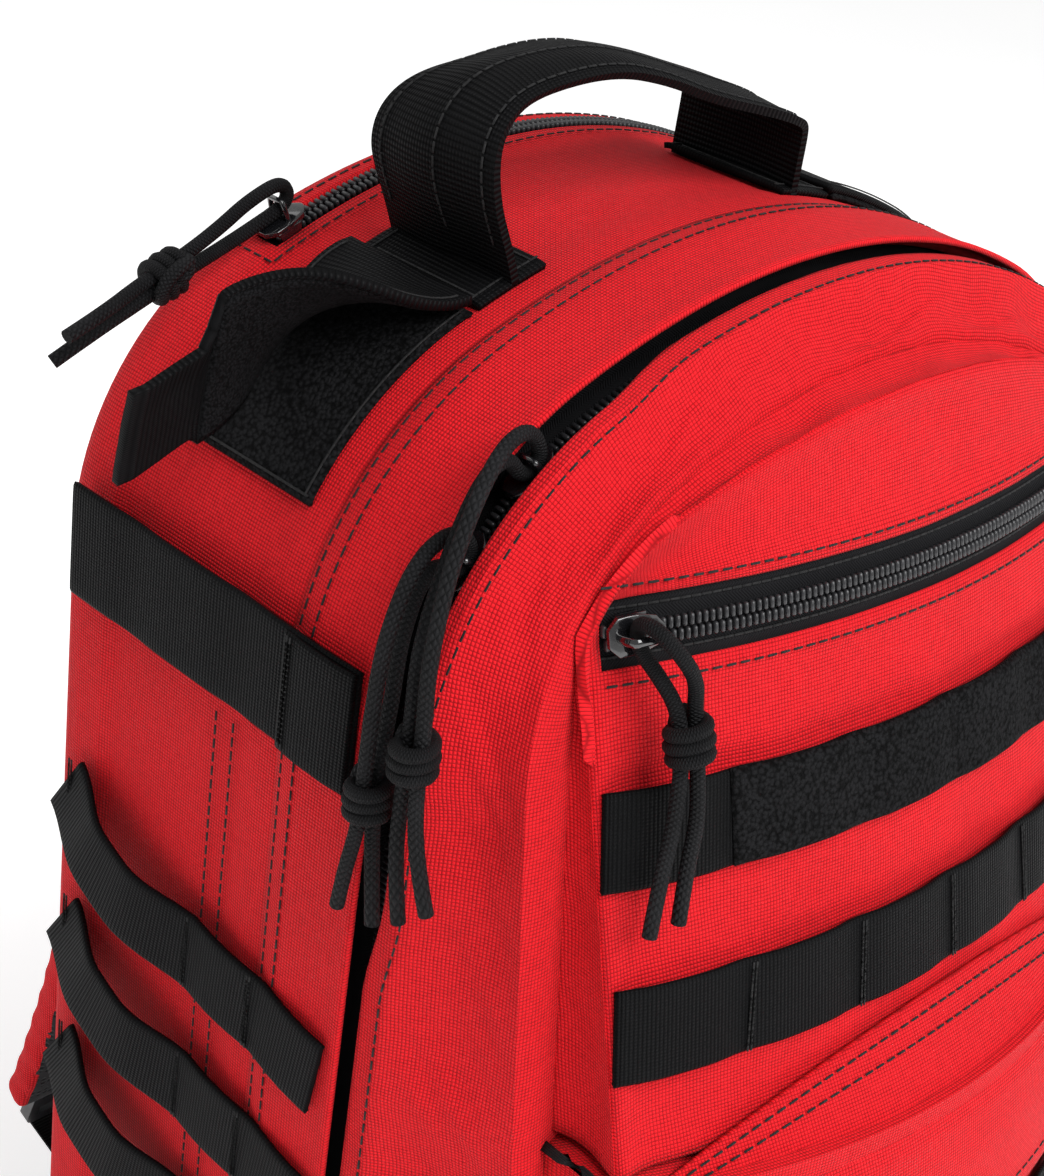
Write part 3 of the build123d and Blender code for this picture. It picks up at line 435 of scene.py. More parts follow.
def make_finishes(bag):
    """Every finish of the bag, from the colours in the panel."""
    red, black = tuple(bag.cloth_colour), tuple(bag.webbing_colour)
    FINISHES.update(
        cloth=woven_cloth("red_polyester", red, bag.weave),
        lining=woven_cloth("black_lining", (0.012, 0.012, 0.013), bag.weave * 0.7),
        webbing=ribbed_webbing("black_webbing", black, 1.15 * MM, 0.9 * MM),
        wide=ribbed_webbing("handle_webbing", black, 1.5 * MM, 1.1 * MM, 0.45 * MM),
        tape=herringbone("zip_tape", (0.009, 0.009, 0.01), 0.9 * MM, 2.2 * MM),
        coil=moulded("zip_coil", (0.02, 0.02, 0.022), 0.32, 2500.0),
        slider=moulded("black_slider_paint", (0.006, 0.006, 0.007), 0.14, 900.0, coat=0.9),
        cord=braided("braided_cord", (0.01, 0.01, 0.011), 6.0, 150.0),
        thread=moulded("black_thread", (0.003, 0.003, 0.0034), 0.85, 5000.0),
        pile=pile("loop_pile", (0.012, 0.012, 0.013), 900.0, 0.9 * MM),
        hooks=pile("hook_tape", (0.009, 0.009, 0.01), 1500.0, 0.5 * MM),
        mesh=air_mesh("air_mesh", (0.018, 0.018, 0.02), 2.6 * MM),
        plastic=moulded("stiff_plastic", (0.55, 0.56, 0.58), 0.45, 700.0),
        alloy=moulded("stay_alloy", (0.62, 0.63, 0.65), 0.35, 1800.0, metal=1.0),
        buckle=moulded("buckle_plastic", (0.018, 0.018, 0.02), 0.4, 1200.0),
    )


# ------------------------------------------------------------------ mesh making
def select_only(piece):
    bpy.ops.object.select_all(action="DESELECT")
    piece.select_set(True)
    bpy.context.view_layer.objects.active = piece


def named(name):
    piece = bpy.context.active_object
    piece.name = name
    piece.data.name = name
    return piece


def coat(piece, *finishes):
    piece.data.materials.clear()
    for finish in finishes:
        piece.data.materials.append(FINISHES[finish])
    return piece


def join_bag(piece, body, slot, *nodes):
    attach(piece, body)
    if nodes:
        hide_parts(*nodes)
    return piece


def smooth_shade(piece, degrees=40):
    select_only(piece)
    bpy.ops.object.shade_smooth_by_angle(angle=math.radians(degrees))


def cloth(name, columns, rows, place, finishes, wall=0.0, hole=None, flip=False, apply=False):
    """A grid laid out by place(column, row); its UV map holds the same values, in metres."""
    bpy.ops.object.select_all(action="DESELECT")
    wide, tall = len(columns), len(rows)
    bpy.ops.mesh.primitive_grid_add(x_subdivisions=wide - 1, y_subdivisions=tall - 1, size=2)
    piece = named(name)
    mesh = piece.data
    flat = np.zeros(len(mesh.vertices) * 3)
    mesh.vertices.foreach_get("co", flat)
    flat = flat.reshape(-1, 3)
    column = np.rint((flat[:, 0] + 1) / 2 * (wide - 1)).astype(int)
    row = np.rint((flat[:, 1] + 1) / 2 * (tall - 1)).astype(int)
    spots = [place(columns[i], rows[j]) for i, j in zip(column, row)]
    mesh.vertices.foreach_set("co", np.array(spots, float).ravel())
    corner = np.zeros(len(mesh.loops), int)
    mesh.loops.foreach_get("vertex_index", corner)
    uv = np.stack([np.array(columns)[column[corner]], np.array(rows)[row[corner]]], 1)
    mesh.uv_layers.active.data.foreach_set("uv", uv.astype(np.float32).ravel())
    work = bmesh.new()
    work.from_mesh(mesh)
    if hole:
        layer = work.loops.layers.uv.active
        gone = []
        for face in work.faces:
            middle = sum((c[layer].uv for c in face.loops), Vector((0, 0))) / len(face.loops)
            if hole(middle.x, middle.y):
                gone.append(face)
        bmesh.ops.delete(work, geom=gone, context="FACES")
    bmesh.ops.dissolve_degenerate(work, edges=work.edges[:], dist=0.01 * MM)
    if flip:
        bmesh.ops.reverse_faces(work, faces=work.faces[:])
    work.to_mesh(mesh)
    work.free()
    coat(piece, *finishes)
    if wall:
        solid = piece.modifiers.new("wall", "SOLIDIFY")
        solid.thickness = wall
        solid.offset = -1
        solid.material_offset = len(finishes) - 1
        if apply:
            select_only(piece)
            bpy.ops.object.modifier_apply(modifier="wall")
    smooth_shade(piece, 50)
    return piece


def many(name, template, transforms, finish):
    """One mesh of many copies of a small template, each put in place by its own matrix."""
    spots = np.array([v.co for v in template.vertices], float)
    faces = [tuple(p.vertices) for p in template.polygons]
    count = len(spots)
    placed, joined = [], []
    for k, matrix in enumerate(transforms):
        table = np.array(matrix)
        placed.append(spots @ table[:3, :3].T + table[:3, 3])
        joined += [tuple(i + k * count for i in face) for face in faces]
    mesh = bpy.data.meshes.new(name)
    mesh.from_pydata(np.concatenate(placed).tolist(), [], joined)
    mesh.shade_smooth()
    piece = bpy.data.objects.new(name, mesh)
    bpy.context.scene.collection.objects.link(piece)
    return coat(piece, finish)


def pill(size, cut=0.3):
    """A small block with all its edges taken off, to be copied."""
    bpy.ops.object.select_all(action="DESELECT")
    bpy.ops.mesh.primitive_cube_add(size=1)
    piece = bpy.context.active_object
    piece.data.transform(Matrix.Diagonal((*size, 1)))
    bpy.ops.object.mode_set(mode="EDIT")
    bpy.ops.mesh.select_all(action="SELECT")
    bpy.ops.mesh.bevel(offset=cut * min(size), segments=1, affect="EDGES")
    bpy.ops.object.mode_set(mode="OBJECT")
    mesh = piece.data
    bpy.data.objects.remove(piece)
    return mesh


def seat(spot, along, out):
    """A matrix that stands a small piece at a spot: x along, z out."""
    along = Vector(along).normalized()
    out = (Vector(out) - along * along.dot(out)).normalized()
    across = out.cross(along)
    turn = Matrix((along, across, out)).transposed().to_4x4()
    return Matrix.Translation(spot) @ turn


def paced(points, outs, pitch, start=0.5):
    """Matrices at an even pitch along a line of points, and the ways out there."""
    found, run, due = [], 0.0, pitch * start
    for a, b, out in zip(points, points[1:], outs):
        step = (b - a).length
        while step and due <= run + step:
            found.append(seat(a.lerp(b, (due - run) / step), b - a, out))
            due += pitch
        run += step
    return found


def band(name, points, outs, width, wall, finish, slack=0.0, tack=0.0, apply=False):
    """Webbing of a width along a line: outs are its face's way out; it bulges between its tacks."""
    runs = [0.0]
    for a, b in zip(points, points[1:]):
        runs.append(runs[-1] + (b - a).length)
    sides = []
    for k, out in enumerate(outs):
        ahead = points[min(k + 1, len(points) - 1)] - points[max(k - 1, 0)]
        sides.append(ahead.normalized().cross(out).normalized())
    lookup = {run: k for k, run in enumerate(runs)}

    def place(run, share):
        k = lookup[run]
        lift = wall
        if tack:
            lift += slack * (1 - abs(math.cos(math.pi * run / tack)) ** 6)
        lift -= 0.35 * wall * smooth(0.46 * width, 0.5 * width, abs(share))
        return points[k] + sides[k] * share + outs[k] * lift

    across = stops(2.6 * MM, -width / 2, -width / 2 + 1 * MM, width / 2 - 1 * MM, width / 2)
    piece = cloth(name, runs, across, place, [finish], wall, apply=apply)
    normal = piece.data.polygons[0].normal
    if normal.dot(outs[0]) < 0 and not apply:
        piece.data.flip_normals()
    return piece


def evenly(points, step):
    """The line through the points as many short, even runs."""
    found = [points[0]]
    for a, b in zip(points, points[1:]):
        count = max(1, round((b - a).length / step))
        found += [a.lerp(b, k / count) for k in range(1, count + 1)]
    return found


STITCHES = {}


def stitch(body, points, outs, pitch=STITCH_PITCH):
    """A row of thread along a line, kept until the body's rows are joined."""
    moved = [p + o * 0.15 * MM for p, o in zip(points, outs)]
    STITCHES.setdefault(body, []).extend(paced(moved, outs, pitch))


# ------------------------------------------------------------------ zips
def teeth(name, points, outs, ways):
    """Coil teeth along a line, on the given sides of it."""
    tooth = pill((1.25 * MM, 3.0 * MM, 2.1 * MM), 0.33)
    found = []
    for way in ways:
        for base in paced(points, outs, 2.0 * MM, 0.5 if way > 0 else 1.0):
            found.append(base @ Matrix.Translation((0, way * 1.65 * MM, -1.05 * MM)))
    return many(name, tooth, found, "coil")


def slider_mesh(name, along_zip, flanges, shift):
    """A zip slider: shouldered plate, side flanges and a bridge for the pull."""
    top, gap, bar = 2.25 * MM, 4.9 * MM, 1.7 * MM
    bpy.ops.object.select_all(action="DESELECT")
    bpy.ops.mesh.primitive_cube_add(size=1, location=(0, 0, 1.5 * MM))
    piece = named(name)
    bpy.ops.object.transform_apply(location=True, rotation=False, scale=False)
    work = bmesh.new()
    work.from_mesh(piece.data)
    plate = (15 * MM, 9.6 * MM, 1.5 * MM)
    bmesh.ops.scale(work, vec=plate, space=Matrix.Translation((0, 0, -1.5 * MM)), verts=work.verts)
    bmesh.ops.subdivide_edges(work, edges=work.edges[:], cuts=5, use_grid_fill=True)
    for vert in work.verts:
        share = vert.co.x / (7.5 * MM)
        vert.co.y *= 1 - 0.3 * smooth(-0.1, 1.0, share) - 0.55 * smooth(0.55, 1.0, abs(share)) ** 2
        if vert.co.z > 1.6 * MM:
            vert.co.z += 0.45 * MM * (1 - share**2) * (1 - (vert.co.y / (5 * MM)) ** 2)

    def block(size, spot):
        made = bmesh.ops.create_cube(work, size=1)
        bmesh.ops.scale(work, vec=size, verts=made["verts"])
        bmesh.ops.translate(work, vec=spot, verts=made["verts"])
        return made["verts"]

    for way in flanges:
        for vert in block((8 * MM, 1.2 * MM, 2.8 * MM), (-1 * MM, way * 4.2 * MM, -0.1 * MM)):
            if vert.co.z < 0:
                vert.co.x *= 0.8
    long = 12 * MM if along_zip else 7.9 * MM
    count = 14
    rings = []
    for k in range(count + 1):
        turn = math.pi * k / count
        run = -math.cos(turn) * (long - bar) / 2
        rise = top - 0.4 * MM + (gap + bar) * min(1.0, 1.35 * math.sin(turn)) ** 0.8
        rise = min(rise, top + gap + bar / 2)
        tilt = Vector((math.cos(turn), -math.sin(turn)))
        ring = []
        for step in range(6):
            spin = 2 * math.pi * step / 6
            off = math.cos(spin) * bar / 2
            side = math.sin(spin) * bar * (0.75 if along_zip else 0.5)
            along = run - tilt.x * off
            spot = (along, side, rise - tilt.y * off)
            if not along_zip:
                spot = (side, along + shift, rise - tilt.y * off)
            ring.append(work.verts.new(spot))
        rings.append(ring)
    for a, b in zip(rings, rings[1:]):
        for k in range(6):
            work.faces.new((a[k], a[(k + 1) % 6], b[(k + 1) % 6], b[k]))
    work.faces.new(rings[0])
    work.faces.new(rings[-1])
    bmesh.ops.recalc_face_normals(work, faces=work.faces[:])
    work.to_mesh(piece.data)
    work.free()
    edge = piece.modifiers.new("edge", "BEVEL")
    edge.width = 0.3 * MM
    edge.segments = 2
    edge.limit_method = "ANGLE"
    select_only(piece)
    bpy.ops.object.modifier_apply(modifier="edge")
    smooth_shade(piece, 45)
    return coat(piece, "slider")


# body, place, along the zip, out, bridge lies along the zip, flange sides, bridge shift
SLIDERS = {
    "main_slider_upper": (
        "upper_slider", (-104.253, -66.5, 432.329), (0.788, 0, 0.616), (-0.616, 0, 0.788), False, (1,), -2.3,
    ),
    "main_slider_lower": (
        "lower_slider", (-121.323, -66.5, 414.024), (0.559, 0, 0.829), (-0.829, 0, 0.559), False, (1,), -2.3,
    ),
    "rear_slider": (
        "top_slider", (-88.795, 46.5, 453.173), (0.919, 0, 0.394), (-0.394, 0, 0.919), False, (-1, 1), 0,
    ),
    "front_slider": (
        "pocket_slider", (-103.631, -103.199, 408.267), (0.9548, -0.2856, 0.0828),
        (-0.2974, -0.917, 0.2659), True, (-1, 1), 0,
    ),
}

# ------------------------------------------------------------------ cords
# body, length, place and lie of the knot, control points
PULLS = {
    "main_pull_upper": (
        "upper_slider",
        273.9,
        ((-149.3, -83.4, 387.0), (0, 0, -1)),
        [
            (-148.0, -84.0, 333.0), (-149.5, -81.5, 350.0), (-149.0, -81.0, 372.0), (-149.2, -81.2, 388.0),
            (-146.5, -78.0, 404.0), (-138.0, -74.5, 421.5), (-126.5, -70.5, 437.0), (-116.6, -68.8, 441.7),
            (-110.2, -68.8, 433.6), (-104.1, -68.8, 438.4), (-110.4, -69.0, 447.4), (-124.5, -73.0, 445.5),
            (-141.0, -79.5, 427.0), (-149.0, -84.0, 405.0), (-149.4, -85.6, 388.0), (-149.6, -85.8, 372.0),
            (-150.5, -89.0, 356.0), (-148.5, -93.0, 341.0),
        ],
    ),
    "main_pull_lower": (
        "lower_pull",
        221.4,
        ((-151.0, -72.3, 370.5), (0, 0, -1)),
        [
            (-149.0, -76.5, 328.0), (-148.2, -73.5, 342.0), (-148.9, -72.3, 356.0), (-148.9, -72.3, 371.0),
            (-146.0, -71.0, 386.0), (-144.0, -69.6, 402.0), (-139.5, -68.8, 414.5), (-134.5, -68.8, 418.6),
            (-127.4, -68.8, 413.4), (-123.0, -68.8, 419.9), (-131.0, -68.9, 426.4), (-142.5, -69.6, 421.5),
            (-150.2, -70.8, 405.0), (-152.5, -71.8, 388.0), (-153.1, -72.3, 371.0), (-153.1, -72.3, 356.0),
            (-154.8, -71.0, 343.0), (-153.6, -68.6, 331.0),
        ],
    ),
    "rear_pull": (
        "top_slider",
        157.8,
        ((-119.8, 46.5, 447.7), (-0.918, 0, -0.397)),
        [
            (-157.0, 50.0, 426.0), (-146.5, 47.0, 433.5), (-133.0, 46.5, 439.6), (-118.4, 46.5, 446.0),
            (-110.0, 46.8, 449.0), (-101.0, 46.6, 452.8), (-87.1, 46.5, 459.0), (-89.9, 46.5, 465.6),
            (-101.5, 46.0, 461.4), (-110.5, 45.6, 455.8), (-120.0, 46.5, 449.9), (-134.6, 46.5, 443.5),
            (-146.0, 43.5, 440.0), (-158.5, 42.0, 436.0),
        ],
    ),
    "front_pull": (
        "pocket_slider",
        164.5,
        ((-100.1, -119.9, 394.5), (0, -0.28, -0.96)),
        [
            (-109.4, -128.4, 339.6), (-107.0, -126.6, 352.6),
            (-104.0, -125.2, 366.7), (-102.1, -122.9, 381.7),
            (-102.1, -119.0, 395.1), (-104.4, -112.2, 402.4),
            (-106.5, -107.8, 407.0), (-106.5, -106.0, 413.1),
            (-108.1, -112.9, 415.3), (-104.5, -118.4, 410.0), (-99.6, -120.4, 403.0), (-98.1, -120.2, 395.1),
            (-98.1, -124.1, 381.7), (-98.6, -127.7, 368.5), (-101.0, -129.0, 356.0), (-102.6, -131.0, 342.3),
        ],
    ),
}


def round_cord(name, points, diameter):
    """A cord on one smooth line through its control points."""
    curve = bpy.data.curves.new(name, "CURVE")
    curve.dimensions = "3D"
    curve.bevel_depth = diameter / 2
    curve.bevel_resolution = 4
    curve.resolution_u = 8
    curve.use_fill_caps = True
    spline = curve.splines.new("NURBS")
    spline.points.add(len(points) - 1)
    for point, spot in zip(spline.points, points):
        point.co = (*spot, 1)
    spline.order_u = 3
    spline.use_endpoint_u = True
    piece = bpy.data.objects.new(name, curve)
    bpy.context.scene.collection.objects.link(piece)
    curve.materials.append(FINISHES["cord"])
    return piece


def pull_knot(name, start, down):
    """A barrel knot: the cord laid round itself, with one strand over the wraps."""
    radius, strand = 4.5 * MM, 3.7 * MM
    base = seat(Vector(start) * MM, down, (1, 0, 0.2) if abs(Vector(down).x) < 0.5 else (0, 0, 1))
    wraps, steps = 3, 12
    points = [Vector((11.8 * MM, radius * 0.7, -radius * 0.5))]
    for k in range(wraps * steps + 1):
        turn = 2 * math.pi * k / steps
        along = 2.2 * MM + 9.6 * MM * k / (wraps * steps)
        swell = radius * (1 + 0.05 * math.sin(1.7 * turn))
        points.append(Vector((along, swell * math.cos(turn), swell * math.sin(turn))))
    points.append(Vector((9 * MM, radius * 1.25, radius * 0.7)))
    points.append(Vector((4.5 * MM, radius * 1.2, radius * 0.85)))
    points.append(Vector((0.8 * MM, radius * 0.7, radius * 0.5)))
    return round_cord(name, [base @ p for p in points], strand)


# ------------------------------------------------------------------ cloth of the body and lid
def main_profile(run):
    """Y and inset of the main gusset, run from its front edge over the rear edge to the back panel."""
    straight = 111 * MM
    bend = REAR_ROUND * math.pi / 2
    if run <= straight:
        return ZIP_Y + 8 * MM + run, 0.0
    if run <= straight + bend:
        turn = (run - straight) / REAR_ROUND
        return ZIP_Y + 119 * MM + REAR_ROUND * math.sin(turn), REAR_ROUND * (1 - math.cos(turn))
    return BACK_Y, REAR_ROUND + run - straight - bend


def sewn_main(along, run):
    y, inset = main_profile(run)
    shape = smooth(34 * MM, 44 * MM, run) * (1 - smooth(96 * MM, 100 * MM, run))
    sag = dip(along, run, 1.6 * MM, 75 * MM, 45 * MM, 1.0) + dip(along, run, 0.7 * MM, 22 * MM, 30 * MM, 5.0)
    return on_dome(along, y, inset + sag * shape)


def flap_profile(along, y):
    """The storm flap: sewn down at its root and rolled at its free edge."""
    behind = y - ZIP_Y
    rise = 2.1 * MM - 1.6 * MM * smooth(26 * MM, 34 * MM, behind)
    rise -= 0.25 * MM * math.exp(-((behind - 26 * MM) / (1.2 * MM)) ** 2)
    rise += 0.35 * MM * smooth(6 * MM, 1.5 * MM, behind) if behind < 6 * MM else 0
    wave = dip(along, behind, 0.5 * MM, 40 * MM, 20 * MM, 3.0) * smooth(26 * MM, 14 * MM, behind)
    return on_dome(along, y, -(rise - wave))


def lid_edge(along):
    """How far ahead of the zip the lid's edge lies; it stands back where the pulls come out."""
    gap = smooth(300 * MM, 330 * MM, along) * (1 - smooth(470 * MM, 500 * MM, along))
    return 3.6 * MM + 3.7 * MM * gap


def pocket_outline(along):
    """Inset of the upper pocket's outline."""
    if along > DOME_LENGTH / 2:
        along = DOME_LENGTH - along
    if along >= CORNER_Z + CORNER_ARC:
        return UPPER_INSET
    turn = max(0.0, (along - CORNER_Z) / CORNER_R)
    return max(UPPER_INSET, CORNER_R - (UPPER_HALF - CORNER_X) / math.cos(turn))



def lid_profile(along, part):
    """The lid's side: 0-1 its edge band, 1-2 out to its front edge, 2-3 in to the pocket, 3-4 a hem."""
    edge = ZIP_Y - lid_edge(along)
    inset, y = 1.1 * MM, edge
    if part <= 1:
        y = edge + (ZIP_Y - 11.2 * MM - edge) * part
    elif part <= 2:
        share = part - 1
        _, low, _, _ = dome(along, RIDGE_INSET)
        inset = 1.1 * MM + (RIDGE_INSET - 1.1 * MM) * share
        y = ZIP_Y - 11.2 * MM + (ridge_y(low) - ZIP_Y + 11.2 * MM) * share
        puff = math.sin(math.pi * share)
        inset -= 1.6 * MM * puff
        inset += puff * dip(along, share, 7.0 * MM, 26 * MM, 1.2, 7.0)
        inset += puff * dip(along + 60 * MM * share, share, 3.0 * MM, 11 * MM, 2.0, 9.0)
    else:
        target = pocket_outline(along) + 1.5 * MM
        share = min(part - 2, 1.0)
        inset = RIDGE_INSET + (target - RIDGE_INSET) * share
        _, low, _, _ = dome(along, inset)
        swell = 1.2 * MM * math.sin(math.pi * share)
        y = ridge_y(low) - swell * min(1.0, (target - RIDGE_INSET) / (9 * MM))
        if part > 3:
            inset += (part - 3) * 4 * MM
            y = ridge_y(low) + (part - 3) * 1.2 * MM
    return on_dome(along, y, inset)


def lid_rows():
    return stops(0.2, 0, 1) + stops(0.055, 1, 2)[1:] + stops(0.14, 2, 3)[1:] + [3.5, 4.0]


class Backpack(bpy.types.PropertyGroup):
    """Sizes and colours that a user may change."""

    cloth_colour: FloatVectorProperty(
        name="Cloth",
        description="Colour of the bag's cloth",
        subtype="COLOR",
        size=3,
        min=0,
        max=1,
        default=(0.74, 0.0078, 0.0145),
    )
    webbing_colour: FloatVectorProperty(
        name="Webbing",
        description="Colour of the webbing",
        subtype="COLOR",
        size=3,
        min=0,
        max=1,
        default=(0.0026, 0.0026, 0.003),
    )
    weave: FloatProperty(
        name="Weave", description="Distance between two threads of the cloth", unit="LENGTH", default=1.0 * MM
    )
    cord_diameter: FloatProperty(
        name="Pull cord", description="Diameter of the pulls' braided cord", unit="LENGTH", default=3.8 * MM
    )
    key_power: FloatProperty(
        name="Key light", description="Power of the main soft light", unit="POWER", default=38.0
    )
    fill_power: FloatProperty(
        name="Fill light", description="Power of the fill light", unit="POWER", default=4.5
    )


VIEW_ANGLES = (-48.95, 28.21, 8.61)
VIEW_SPOT = (-0.43806, -0.35924, 0.64065)
VIEW_LENS = 64.59
LAMPS = (
    ("key", "key_power", 1.2, (-0.15, -1.25, 1.75), (0, 0, 0.3)),
    ("fill", "fill_power", 1.4, (1.1, -1.1, 1.1), (0, -0.05, 0.3)),
    ("rim", "fill_power", 1.2, (-0.3, 1.2, 1.5), (0, 0, 0.35)),
)
SKY_STRENGTH = 0.5
FLOOR_GLOW = 0.4


class StageMaker(bpy.types.Operator):
    """Camera, lights and a pale floor"""

    bl_idname = "backpack.stage"
    bl_label = "Stage"

    def execute(self, context):
        bag = context.scene.backpack
        azimuth, elevation, roll = (math.radians(a) for a in VIEW_ANGLES)
        level = math.cos(elevation)
        back = Vector((math.sin(azimuth) * level, -math.cos(azimuth) * level, math.sin(elevation)))
        right = Vector((math.cos(azimuth), math.sin(azimuth), 0))
        up = back.cross(right)
        wide = right * math.cos(roll) + up * math.sin(roll)
        tall = up * math.cos(roll) - right * math.sin(roll)
        data = bpy.data.cameras.new("view")
        data.sensor_fit = "VERTICAL"
        data.sensor_height = 36.0
        data.lens = VIEW_LENS
        data.clip_start = 0.01
        camera = bpy.data.objects.new("view", data)
        context.scene.collection.objects.link(camera)
        turned = Matrix((wide, tall, back)).transposed().to_4x4()
        camera.matrix_world = Matrix.Translation(VIEW_SPOT) @ turned
        context.scene.camera = camera

        for name, power, size, spot, aim in LAMPS:
            lamp = bpy.data.lights.new(name, "AREA")
            lamp.energy = getattr(bag, power)
            lamp.size = size
            light = bpy.data.objects.new(name, lamp)
            context.scene.collection.objects.link(light)
            light.location = spot
            light.rotation_euler = (Vector(spot) - Vector(aim)).to_track_quat("Z", "Y").to_euler()
        world = bpy.data.worlds.new("studio")
        world.use_nodes = True
        world.node_tree.nodes["Background"].inputs[0].default_value = (1, 1, 1, 1)
        world.node_tree.nodes["Background"].inputs[1].default_value = SKY_STRENGTH
        context.scene.world = world
        context.scene.view_settings.view_transform = "Standard"
        bpy.ops.mesh.primitive_grid_add(x_subdivisions=8, y_subdivisions=8, size=14)
        floor = named("floor")
        paper = Finish("floor_paper", 0.9)
        tone = paper.span(paper.cloud(3.0), 0.3, 0.7, 0.0, 1.0)
        paper.shader.inputs["Emission Color"].default_value = (1, 1, 1, 1)
        paper.shader.inputs["Emission Strength"].default_value = FLOOR_GLOW
        coats = paper.finish(paper.blend(tone, (0.93, 0.93, 0.93), (0.95, 0.95, 0.95)))
        floor.data.materials.append(coats)
        return {"FINISHED"}


class PullMaker(bpy.types.Operator):
    """Cord pulls with their knots, and the zip sliders"""

    bl_idname = "backpack.pulls"
    bl_label = "Pulls and sliders"

    def execute(self, context):
        bag = context.scene.backpack
        for name, (body, length, (spot, down), route) in PULLS.items():
            points = [Vector(p) * MM for p in route]
            cord = round_cord(f"{name}_cord", points, bag.cord_diameter)
            join_bag(cord, body, "cord", name)
            knot = join_bag(pull_knot(f"{name}_knot", spot, down), body, "cord")
        for name, (body, spot, along, out, lengthwise, flanges, shift) in SLIDERS.items():
            piece = slider_mesh(f"{name}_body", lengthwise, flanges, shift * MM)
            piece.data.transform(seat(Vector(spot) * MM, along, out))
            join_bag(piece, body, "slider_metal", name)
        return {"FINISHED"}


class MainClothMaker(bpy.types.Operator):
    """Main compartment's red cloth and its storm flap"""

    bl_idname = "backpack.main_cloth"
    bl_label = "Main cloth"

    def execute(self, context):
        straight, bend = 111 * MM, REAR_ROUND * math.pi / 2
        low, high = 100.5 * MM, 109.5 * MM
        rows = stops(5 * MM, 0, low, high, straight, straight + bend, 137 * MM)
        arc = CORNER_Z + CORNER_ARC
        half = (4 * MM, CORNER_Z, arc, MIDDLE - TOP_SLOT)
        around = sorted(stops(SIDE_STEP, *half, *(DOME_LENGTH - s for s in reversed(half))))

        def top_slot(along, run):
            return abs(along - MIDDLE) < TOP_SLOT and low < run < high

        skin = cloth("main_cloth", around, rows, sewn_main, ("cloth", "lining"), 2.6 * MM, hole=top_slot)
        join_bag(skin, "main_bag", "red_cloth", "main_gusset")
        around = stops(SIDE_STEP, 20 * MM, DOME_LENGTH - 20 * MM)
        across = stops(2.2 * MM, ZIP_Y, ZIP_Y + 34 * MM)
        flap = cloth("storm_flap_cloth", around, across, flap_profile, ("cloth", "cloth"), 1.5 * MM)
        join_bag(flap, "main_bag", "red_cloth", "storm_flap")
        spans = stops(4 * MM, 22 * MM, DOME_LENGTH - 22 * MM)
        for behind, inset in ((26.0, -2.0), (32.0, -0.7)):
            stitch("main_bag", dome_line(spans, ZIP_Y + behind * MM, inset * MM), dome_outs(spans))
        for side in (-1, 1):
            for behind in (52.0, 59.0):
                spans = stops(4 * MM, 10 * MM, 352 * MM)
                ends = spans if side < 0 else [DOME_LENGTH - s for s in spans]
                stitch("main_bag", dome_line(ends, ZIP_Y + behind * MM, 0.1 * MM), dome_outs(ends))
        frame_half = TOP_SLOT + 5 * MM
        for behind in (104.5, 121.5):
            spans = stops(4 * MM, MIDDLE - frame_half, MIDDLE + frame_half)
            y, inset = main_profile((behind - 8) * MM)
            stitch("main_bag", dome_line(spans, y, inset + 0.1 * MM), dome_outs(spans))
        for end in (-1, 1):
            s = MIDDLE + end * frame_half
            points = [on_dome(s, ZIP_Y + b * MM, 0.1 * MM) for b in (104.5, 108, 112, 116, 119, 121.5)]
            stitch("main_bag", points, [dome_out(s)] * len(points))
        return {"FINISHED"}


